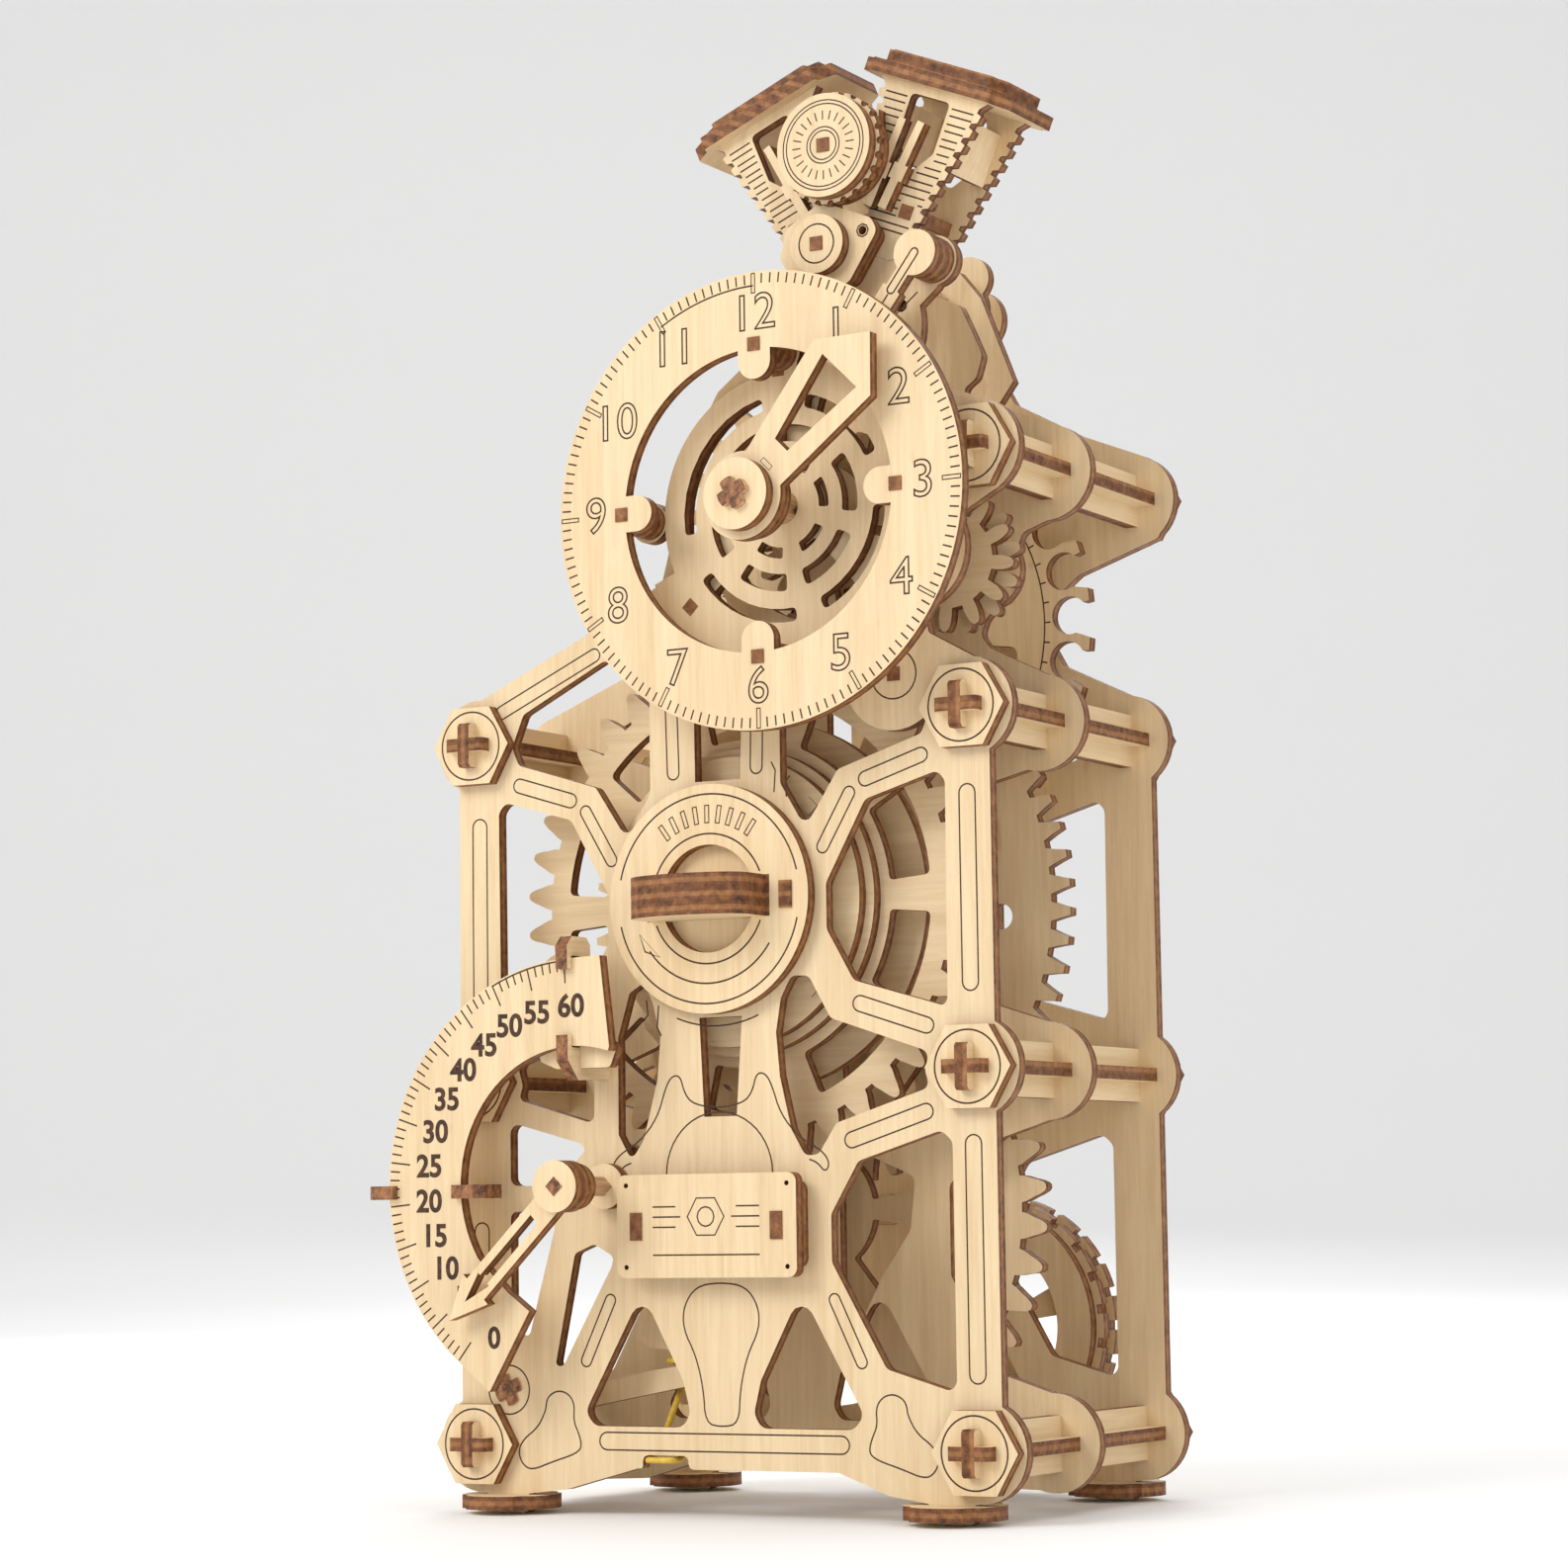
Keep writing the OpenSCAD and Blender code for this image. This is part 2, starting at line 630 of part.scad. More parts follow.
module timer_hand() {
  color(pale) {
    sheet(-17.3, 2.98) difference() {
      union() {
        at(timer_c) circle(5.6);
        at(timer_c) rotate(timer_angle) polygon([
          [0, -3.2], [31.5, -3.2], [31.5, -4.6], [41.3, 0], [31.5, 4.6], [31.5, 3.2], [0, 3.2]
        ]);
      }
      square_at(timer_c, 3.04, timer_angle);
      at(timer_c) rotate(timer_angle) polygon([[10, -1.3], [28.5, -1.3], [28.5, -2], [35.5, 0], [28.5, 2], [28.5, 1.3], [10, 1.3]]);
    }
    sheet(-20.3) difference() {
      at(timer_c) circle(5.6);
      square_at(timer_c, 3.04, timer_angle);
    }
    for (q = [[-14.3, 3], [-0.3, 2.9]])
      sheet(q[0], q[1]) difference() {
        at(timer_c) circle(5);
        square_at(timer_c, 3.04, timer_angle);
      }
  }
}

// Square spindle in front, round journal through both plates and a snail cam
module timer_arbor() {
  color(deep) {
    sheet(-20.5, 24) square_at(timer_c, 3, timer_angle);
    sheet(2.7, 39.1) at(timer_c) circle(2.5);
    sheet(8, 3) polygon([for (a = [0:10:350]) timer_c + polar(8 + 5.6 * a / 350, a)]);
  }
}

// ---------- engine ----------

filter_c = [36.3, 279.3];
cam_c = [32.6, 258.7];

// Local frame of one cylinder: first number across, second along the cylinder
module cylinder_frame(side) {
  translate(crank_c) rotate(-side * lean) children();
}

// Half outline of a finned side, with a notch between each pair of fins
fin_pitch = 3.4;
fins = 9;
function half_width(a) = 7 + (a - 25) * 0.2333;
function fin_edge(s) = [
  for (i = [0:fins - 1], q = [[0.08, 0], [0.55, 0], [0.68, -1.3], [0.95, -1.3]])
    [s * (half_width(23 + (i + q[0]) * fin_pitch) + q[1]), 23 + (i + q[0]) * fin_pitch]
];
function turned(pts) = [for (i = [len(pts) - 1:-1:0]) pts[i]];

module fin_panel(s) {
  difference() {
    polygon(concat(
      [[-5.4, 16], [5.4, 16]], fin_edge(1), [[14, 55], [-14, 55]], turned(fin_edge(-1))
    ));
    polygon(rounded([[-5, 41.5], [-1.5, 37], [1.5, 37], [5, 41.5], [5, 53], [-5, 53]], 1, 2));
    square_at([s * 3.2, 28], peg + 0.04);
  }
}

module cylinder_fronts() {
  color(pale) sheet(front_y) for (s = [-1, 1])
    difference() {
      cylinder_frame(s) fin_panel(s);
      at(crank_c) circle(17.05);
      polygon([for (p = rounded(front_outline, 1.2, 2)) crank_c + (p - crank_c) * 1.006]);
      at(shift_c) circle(5.55);
      square_at(cam_c, peg + 0.04);
    }
}

module cylinder_rears() {
  color(tan_wood) sheet(21) for (s = [-1, 1])
    cylinder_frame(s) fin_panel(s);
}

// Cross pieces between the front and rear sides of each cylinder
module cylinder_braces() {
  color(deep) for (s = [-1, 1])
    sheet(6, 15) cylinder_frame(s) {
      translate([-7.5, 45]) square([ply, 12], center = true);
      translate([7.5, 45]) square([ply, 12], center = true);
    }
}

// Ply behind the crankcase that carries both cylinders
module crankcase_plate() {
  color(tan_wood) sheet(6) difference() {
    union() {
      at(crank_c) circle(15);
      for (s = [-1, 1])
        cylinder_frame(s) translate([-5.2, 0]) square([10.4, 34]);
      polygon([[27, 250], [45, 250], [43.6, 262.4], [29, 262.4]]);
    }
    for (s = [-1, 1])
      cylinder_frame(s) square_at([s * 3.2, 28], peg + 0.04);
    square_at(cam_c, peg + 0.04);
  }
}

// Head plates: the sheet stands square to the cylinder
module head_plate(side, rise, w, notch, y0, y1) {
  translate([crank_c[0] - mid_x, -mid_y, crank_c[1] + ground]) rotate([0, side * lean, 0])
    translate([0, 0, rise]) linear_extrude(ply) polygon(rounded([
      [-w + notch, y0], [w - notch, y0], [w - notch, y0 + 1.6], [w, y0 + notch],
      [w, y1 - notch], [w - notch, y1 - 1.6], [w - notch, y1], [-w + notch, y1],
      [-w + notch, y1 - 1.6], [-w, y1 - notch], [-w, y0 + notch], [-w + notch, y0 + 1.6]
    ], 0.7, 2));
}

module head_lower_plies() {
  color(deep) for (s = [-1, 1])
    head_plate(s, 55, 19, 3.5, 0, 27);
}

module head_upper_plies() {
  color(deep) for (s = [-1, 1])
    head_plate(s, 58, 15.6, 2.6, 3, 24);
}

// Pushrods of the right side as [head, foot], mirrored for the left
rods = [[[55.6, 283.6], [45.5, 266.1]], [[51.1, 285.2], [42, 267.2]]];
function opposite(p, s) = s > 0 ? p : [2 * crank_c[0] - p[0], p[1]];

module pushrods(grow = 0) {
  color(pale) sheet(-grow, ply + 2 * grow) for (s = [-1, 1], r = rods) {
    a = opposite(r[1], s);
    b = opposite(r[0], s);
    d = unit(b - a);
    n = [-d[1], d[0]];
    polygon([a - n * 1.1, b - n * 0.9, b + n * 0.9, a + n * 1.1]);
    m = a + (b - a) * 0.42;
    polygon([m - n * 1.8 - d * 1.8, m + n * 1.8 - d * 1.8, m + n * 1.8 + d * 1.8, m - n * 1.8 + d * 1.8]);
  }
}

cam_outline = [[32.2, 268.6], [44.4, 263.5], [46, 260.6], [38.8, 249.8], [27, 249], [21.8, 257], [23.4, 263.7]];

// Two plies of the cam cover, the rear one a little smaller
module cam_cover() {
  color(pale) sheet(-3, 2.98) difference() {
    polygon(rounded(cam_outline, 2.4, 4));
    square_at(cam_c, peg + 0.04);
    at([42.4, 260.9]) circle(1, $fn = 24);
  }
  color(tan_wood) sheet(0) difference() {
    polygon(rounded([for (p = cam_outline) cam_c + (p - cam_c) * 0.93], 2.2, 4));
    square_at(cam_c, peg + 0.04);
  }
}

module cam_cap() {
  color(pale) sheet(-6) difference() {
    at(cam_c) circle(6.5);
    square_at(cam_c, peg + 0.04);
  }
}

// Stack of the air filter: face, notched ply, back ply and bracket
module air_filter() {
  for (q = [[-9, 11.4, 0], [-6, 12.3, 24], [-3, 11.4, 0]])
    color(pale) sheet(q[0], 2.98) difference() {
      at(filter_c) circle(q[1], $fn = 72);
      square_at(filter_c, peg + 0.04);
      if (q[2] > 0)
        for (k = [1:q[2]])
          at(filter_c) rotate(360 * k / q[2]) translate([12.3, 0]) circle(0.8, $fn = 16);
    }
  color(tan_wood) sheet(0) difference() {
    polygon([[30.6, 270.5], [42, 270.5], [45.3, 279], [45.3, 288], [27.3, 288], [27.3, 279]]);
    square_at(filter_c, peg + 0.04);
  }
}

shift_c = [56.5, 253.6];

module shift_lever() {
  color(pale) sheet(-6) {
    at(shift_c) circle(5);
    at(shift_c) rotate(232) polygon([[0, -1.6], [9, -1.6], [9.2, -2.4], [19, -2.4], [19, 2.4], [9.2, 2.4], [9, 1.6], [0, 1.6]]);
  }
}

module shift_hub() {
  color(deep) sheet(-3, 6) at(shift_c) circle(5);
}

// ---------- winding knob ----------

module winding_ring() {
  color(pale) sheet(-0.5) difference() {
    at(main_c) circle(25.1, $fn = 96);
    at(main_c) circle(11.8);
    at(main_c) square([31.04, 9.04], center = true);
    at(main_c + [19.6, 0]) square([3, 6], center = true);
  }
}

module winding_grip() {
  color(deep)
    translate([main_c[0] - mid_x, -mid_y, main_c[1] + ground - 4.5])
      linear_extrude(9) polygon(concat(
        [[15.5, 2.5], [15.5, -0.5], [14.4, -0.5], [14.4, -8]],
        [for (a = [0:15:180]) [14.4 * cos(a), -8 - 7 * sin(a)]],
        [[-14.4, -0.5], [-15.5, -0.5], [-15.5, 2.5]]
      ));
  color(deep) sheet(-1.1, 3.6) at(main_c + [19.6, 0]) square([2.96, 5.96], center = true);
}

module winding_journal() {
  color(tan_wood) sheet(2.5, 4) difference() {
    at(main_c) circle(12.45);
    at(main_c) circle(3.2);
  }
}

// Ratchet wheel with saw teeth
module ratchet_wheel() {
  color(tan_wood) {
    sheet(6.5) difference() {
      polygon([
        for (k = [0:11], q = [[16.4, 0], [13.8, 3]])
          main_c + polar(q[0], 30 * k + q[1])
      ]);
      at(main_c) circle(3.2);
    }
  }
}

// ---------- main train ----------

// Tooth rows of the wheels and pinions
leaf_rows = [[51.2, 0.37], [52.4, 0.335], [54.2, 0.24], [55.8, 0.175], [56.9, 0.11], [57.4, 0.05]];
petal_rows = [
  [29.1, 0.3], [29.9, 0.27], [31, 0.235], [32.5, 0.19], [33.9, 0.135], [34.9, 0.08], [35.3, 0.04]
];
drum_rows = [[8.9, 0.24], [11, 0.22], [12.5, 0.19], [13.55, 0.15], [15, 0.09], [16.2, 0.03]];
second_rows = [[57.5, 0.36], [60, 0.22], [62.2, 0.13]];
escape_pinion_rows = [[3.6, 0.17], [5, 0.17], [6, 0.15], [7, 0.11], [7.9, 0.04]];

hour_a = heading(hour_c - main_c);
lower_a = heading(lower_c - main_c);
escape_a = heading(escape_c - main_c);
idler_a = heading(idler_c - hour_c);

module great_wheel() {
  color(pale) sheet(great_y) difference() {
    polygon(gear(main_c, great_teeth, leaf_rows, hour_a));
    arbor_hole(main_c);
    for (k = [0:9])
      polygon(rounded(ring_slot(main_c, 36.4, 46.4, 36 * k + 5, 36 * k + 31, 8), 2, 3));
    for (k = [0:3])
      square_at(main_c + polar(28, 45 + 90 * k), peg, 45 + 90 * k);
    for (k = [0:2])
      polygon(rounded([for (q = [[13, -16], [25, -19], [25, 19], [13, 16]]) main_c + polar(q[0], q[1] + 90 + 120 * k)], 1, 2));
  }
}

// Discs of the spring drum: two in front of the great wheel and one behind
module drum_rings() {
  color(tan_wood) {
    sheet(9.9, 2.98) difference() {
      at(main_c) circle(32, $fn = 96);
      arbor_hole(main_c);
      for (k = [0:2])
        polygon(rounded([for (q = [[8, -34], [18, -38], [18, 38], [8, 34]]) main_c + polar(q[0], q[1] + 30 + 120 * k)], 1.4, 3));
      for (k = [0:3])
        square_at(main_c + polar(28, 45 + 90 * k), peg + 0.04, 45 + 90 * k);
    }
    sheet(12.9) difference() {
      at(main_c) circle(34, $fn = 96);
      at(main_c) circle(24, $fn = 72);
      for (k = [0:3])
        square_at(main_c + polar(28, 45 + 90 * k), peg + 0.04, 45 + 90 * k);
    }
    sheet(24) difference() {
      at(main_c) circle(41, $fn = 96);
      arbor_hole(main_c);
      for (k = [0:5])
        polygon(rounded(ring_slot(main_c, 12, 30, 60 * k + 8, 60 * k + 52, 8), 2, 3));
    }
    for (k = [0:3])
      sheet(9.6, 9.6) square_at(main_c + polar(28, 45 + 90 * k), peg - 0.04, 45 + 90 * k);
  }
}

module main_arbor() {
  color(deep) arbor(main_c, 9.9, rear_y + 2 * ply);
}

module drum_pinion() {
  color(pale) sheet(drum_y) difference() {
    polygon(gear(main_c, drum_teeth, drum_rows, lower_a));
    arbor_hole(main_c);
  }
}

module second_wheel() {
  color(tan_wood) sheet(second_y) difference() {
    polygon(gear(main_c, second_teeth, second_rows, escape_a));
    arbor_hole(main_c);
    for (k = [0:5]) {
      polygon(rounded([
        for (q = [[47, -12.5], [49.5, 0], [47, 12.5], [20, 0]]) main_c + polar(q[0], q[1] + 60 * k + 26)
      ], 1.4, 2));
      at(main_c + polar(45, 60 * k - 4)) circle(2.9);
    }
  }
}

module hour_wheel() {
  color(pale) sheet(great_y) difference() {
    polygon(gear(hour_c, hour_teeth, petal_rows, hour_a + 180 + 180 / hour_teeth));
    arbor_hole(hour_c, 28);
    for (k = [0:3])
      polygon(rounded(ring_slot(hour_c, 12, 23, 90 * k + 12, 90 * k + 78, 8), 2, 3));
  }
}

// Twin pinions on the hour arbor, the rear one half a tooth ahead
twin_rows = [[15.9, 0.28], [17.3, 0.26], [18.7, 0.22], [20, 0.16], [20.6, 0.105], [20.95, 0.05]];
idler_rows = [[10.4, 0.27], [11.8, 0.255], [13.2, 0.22], [14.6, 0.155], [15.2, 0.105], [15.5, 0.05]];

module hour_pinions() {
  color(pale) for (k = [0, 1])
    sheet(petal_y[k]) difference() {
      polygon(gear(hour_c, hour_pinion_teeth, twin_rows, idler_a + k * 180 / hour_pinion_teeth));
      arbor_hole(hour_c, 28);
    }
}

module idler_gears() {
  color(pale) for (k = [0, 1])
    sheet(petal_y[k]) difference() {
      polygon(gear(idler_c, idler_teeth, idler_rows, idler_a + 180 + (1 - k) * 180 / idler_teeth));
      arbor_hole(idler_c);
    }
}

module hour_hand() {
  color(pale) sheet(-18) difference() {
    union() {
      at(hour_c) circle(9.6);
      at(hour_c) rotate(45) polygon([[4, -5.4], [35.2, -9.6], [45, 0], [35.2, 9.6], [4, 5.4]]);
    }
    at(hour_c) rotate(45) polygon([[14, -2.1], [34.4, -5.7], [34.4, 5.7], [14, 2.1]]);
    arbor_hole(hour_c, 28);
  }
}

module hour_hub_discs() {
  color(pale) for (q = [[-21, 7.8], [-15, 8.8]])
    sheet(q[0]) difference() {
      at(hour_c) circle(q[1]);
      arbor_hole(hour_c, 28);
    }
}

module hour_arbor() {
  color(deep) arbor(hour_c, -22.5, middle_y + 3.8, 28);
}

module idler_arbor() {
  color(deep) arbor(idler_c, 20.2, middle_y + 3.8);
}

module lower_wheel() {
  color(pale) sheet(drum_y) difference() {
    polygon(gear(lower_c, great_teeth, leaf_rows, lower_a + 180 + 180 / great_teeth));
    arbor_hole(lower_c);
    for (k = [0:5])
      polygon(rounded(ring_slot(lower_c, 14, 44, 60 * k + 9, 60 * k + 51, 8), 3, 3));
  }
}

module lower_arbor() {
  color(deep) arbor(lower_c, middle_y - 1, rear_y + 2 * ply);
}

// Escape wheel: hooked teeth over round gullets
tip_r = 55;
gullet_r = 4.4;
pitch_a = 360 / escape_teeth;
beat_a = heading(anchor_c - escape_c);

module escape_wheel() {
  color(tan_wood) sheet(escape_y) at(escape_c) difference() {
    circle(tip_r, $fn = 180);
    rotate(beat_a + 7.5) for (k = [0:escape_teeth - 1])
      rotate(k * pitch_a) {
        translate([tip_r - 5.2, 0]) circle(gullet_r, $fn = 24);
        polygon([
          polar(tip_r - 5.2, -pitch_a * 0.34), polar(tip_r + 0.4, -pitch_a * 0.5),
          polar(tip_r + 0.4, pitch_a * 0.26), polar(tip_r - 5.2, pitch_a * 0.2)
        ]);
      }
    for (k = [0:4])
      polygon(rounded(ring_slot([0, 0], 14, 37, 72 * k + 8, 72 * k + 64, 8), 3, 3));
    translate(-escape_c) arbor_hole(escape_c);
  }
}

module escape_arbor() {
  color(deep) {
    arbor(escape_c, middle_y - 1, rear_y + 2 * ply);
    sheet(second_y - 0.5, 4) polygon(gear(
      escape_c, escape_pinion_teeth, escape_pinion_rows, escape_a + 180 + 180 / escape_pinion_teeth
    ));
  }
}

// ---------- pendulum ----------

// A point at radius r from the escape axis, a degrees off the line to the anchor
function beat(r, a) = escape_c + polar(r, beat_a + a);

module anchor() {
  arm = [[88, 3], [83, 8], [68, 20.4], [55.7, 19.3], [55.5, 16.9], [64.5, 15.6], [73, 5]];
  color(pale) sheet(escape_y) difference() {
    polygon(concat([for (q = arm) beat(q[0], -q[1])], [for (k = [len(arm) - 1:-1:0]) beat(arm[k][0], arm[k][1])]));
    arbor_hole(anchor_c);
  }
}

module anchor_arbor() {
  color(deep) arbor(anchor_c, middle_y - 0.6, rear_y + 16.4);
}

module pendulum_rod() {
  color(pale) sheet(rear_y + 12) difference() {
    union() {
      at(anchor_c) circle(7.6);
      translate([anchor_c[0] - 3.5, tyre_c[1]]) square([7, anchor_c[1] - tyre_c[1]]);
      at(tyre_c) circle(6.4);
    }
    arbor_hole(anchor_c);
  }
}

// Tyre-shaped bob in four plies
module tyre_rings() {
  color(tan_wood) {
    sheet(88, 2.98) difference() {
      at(tyre_c) circle(28.1, $fn = 96);
      at(tyre_c) circle(19.6, $fn = 72);
    }
    sheet(94.02, 2.96) difference() {
      at(tyre_c) circle(28.1, $fn = 96);
      at(tyre_c) circle(19.6, $fn = 72);
      translate([tyre_c[0] - 3.55, tyre_c[1]]) square([7.1, 40]);
    }
    sheet(97) difference() {
      at(tyre_c) circle(30, $fn = 96);
      at(tyre_c) circle(19.6, $fn = 72);
      for (k = [0:23])
        at(tyre_c) rotate(15 * k) translate([30.2, 0]) square([3.2, 2.2], center = true);
    }
  }
}

module tyre_spokes() {
  color(tan_wood) sheet(91) difference() {
    at(tyre_c) circle(30, $fn = 96);
    for (k = [0:4])
      polygon(rounded(ring_slot(tyre_c, 8.4, 19.6, 72 * k + 10 + 90, 72 * k + 62 + 90, 8), 1.2, 2));
    for (k = [0:23])
      at(tyre_c) rotate(15 * k + 7.5) translate([30.2, 0]) square([3.2, 2.2], center = true);
  }
}

front_plate();
middle_plate();
rear_plate();
hex_nuts();
front_spacer_uprights();
front_spacer_flats();
rear_spacer_uprights();
rear_spacer_flats();
feet();
dial_ring();
dial_backing();
dial_spacers();
square_pegs();
name_plate();
name_plate_spacer();
timer_scale();
timer_scale_tab();
timer_clips();
corner_axle();
stop_lever();
rubber_band();
cam_cover();
cam_cap();
air_filter();
crankcase_plate();
cylinder_fronts();
cylinder_rears();
cylinder_braces();
head_lower_plies();
head_upper_plies();
pushrods();
shift_lever();
shift_hub();
winding_ring();
winding_grip();
winding_journal();
ratchet_wheel();
great_wheel();
drum_rings();
main_arbor();
drum_pinion();
second_wheel();
hour_hand();
hour_hub_discs();
hour_arbor();
hour_wheel();
hour_pinions();
idler_gears();
idler_arbor();
lower_wheel();
lower_arbor();
escape_wheel();
escape_arbor();
anchor();
anchor_arbor();
pendulum_rod();
tyre_rings();
tyre_spokes();
timer_hand();
timer_arbor();
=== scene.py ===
"""Looks for the plywood clock model: materials, engraved lines, numerals, light and camera."""
import math
import bpy
from mathutils import Matrix, Vector


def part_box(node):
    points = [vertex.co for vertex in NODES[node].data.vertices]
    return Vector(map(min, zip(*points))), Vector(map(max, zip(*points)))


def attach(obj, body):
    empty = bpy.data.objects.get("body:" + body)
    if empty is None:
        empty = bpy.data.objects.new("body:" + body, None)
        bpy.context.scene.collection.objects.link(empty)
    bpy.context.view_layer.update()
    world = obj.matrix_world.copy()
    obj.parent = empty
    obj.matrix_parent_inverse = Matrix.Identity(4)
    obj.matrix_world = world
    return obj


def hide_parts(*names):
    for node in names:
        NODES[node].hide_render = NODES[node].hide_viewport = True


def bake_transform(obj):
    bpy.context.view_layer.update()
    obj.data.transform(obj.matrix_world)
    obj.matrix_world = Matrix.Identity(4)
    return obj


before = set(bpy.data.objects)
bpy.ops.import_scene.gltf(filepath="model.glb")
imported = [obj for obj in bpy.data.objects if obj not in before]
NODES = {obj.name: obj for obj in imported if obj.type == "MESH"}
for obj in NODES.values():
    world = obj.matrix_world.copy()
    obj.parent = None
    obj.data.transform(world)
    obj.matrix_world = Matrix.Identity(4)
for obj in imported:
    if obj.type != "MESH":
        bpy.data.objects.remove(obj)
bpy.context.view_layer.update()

MM = 0.001
MID_X, MID_Y, GROUND = -2.85, 38.75, 15.0  # row origin in the CAD drawing, in millimetres
PLY = 3.0  # sheet thickness, in millimetres


def place(x, y, z):
    """A point of the drawing, in millimetres, as metres in the row frame."""
    return Vector(((x - MID_X) * MM, (y - MID_Y) * MM, (z + GROUND) * MM))


# ---------- materials ----------

PALE = (0.84, 0.66, 0.415)
PALE_LOW = (0.71, 0.515, 0.29)
KNOT = (0.50, 0.30, 0.14)
CHAR = (0.050, 0.018, 0.008)
TOAST = (0.24, 0.092, 0.032)
GLOW = (0.43, 0.20, 0.075)
SQUARE_ON = 0.9  # a normal closer than this to a sheet's own direction is a pale face


class Graph:
    """Short names for building a node tree."""

    def __init__(self, name):
        self.mat = bpy.data.materials.new(name)
        self.mat.use_nodes = True
        self.tree = self.mat.node_tree
        self.bsdf = self.tree.nodes["Principled BSDF"]

    def put(self, socket, value):
        if isinstance(value, bpy.types.NodeSocket):
            self.tree.links.new(value, socket)
        elif value is not None:
            socket.default_value = value

    def node(self, kind, **settings):
        made = self.tree.nodes.new(kind)
        for key, value in settings.items():
            setattr(made, key, value)
        return made

    def math(self, op, a, b=None, c=None):
        made = self.node("ShaderNodeMath", operation=op)
        for socket, value in zip(made.inputs, (a, b, c)):
            self.put(socket, value)
        return made.outputs[0]

    def scaled(self, vector, by, shift=(0.0, 0.0, 0.0)):
        made = self.node("ShaderNodeMapping")
        self.put(made.inputs["Vector"], vector)
        made.inputs["Scale"].default_value = by
        made.inputs["Location"].default_value = shift
        return made.outputs[0]

    def noise(self, vector, scale, detail=3.0, rough=0.55, warp=0.0):
        made = self.node("ShaderNodeTexNoise")
        self.put(made.inputs["Vector"], vector)
        made.inputs["Scale"].default_value = scale
        made.inputs["Detail"].default_value = detail
        made.inputs["Roughness"].default_value = rough
        made.inputs["Distortion"].default_value = warp
        return made.outputs[0]

    def ramp(self, value, stops):
        made = self.node("ShaderNodeValToRGB")
        self.put(made.inputs[0], value)
        cr = made.color_ramp
        while len(cr.elements) < len(stops):
            cr.elements.new(0.5)
        for element, (at, colour) in zip(cr.elements, stops):
            element.position = at
            element.color = (*colour, 1.0) if len(colour) == 3 else colour
        return made.outputs[0]

    def mix(self, factor, a, b, blend="MIX"):
        made = self.node("ShaderNodeMix", data_type="RGBA", blend_type=blend)
        self.put(made.inputs[0], factor)
        for socket, value in ((made.inputs[6], a), (made.inputs[7], b)):
            self.put(socket, (*value, 1.0) if isinstance(value, tuple) else value)
        return made.outputs[2]

    def split(self, vector):
        made = self.node("ShaderNodeSeparateXYZ")
        self.put(made.inputs[0], vector)
        return made.outputs


def grey(v):
    return (v, v, v)


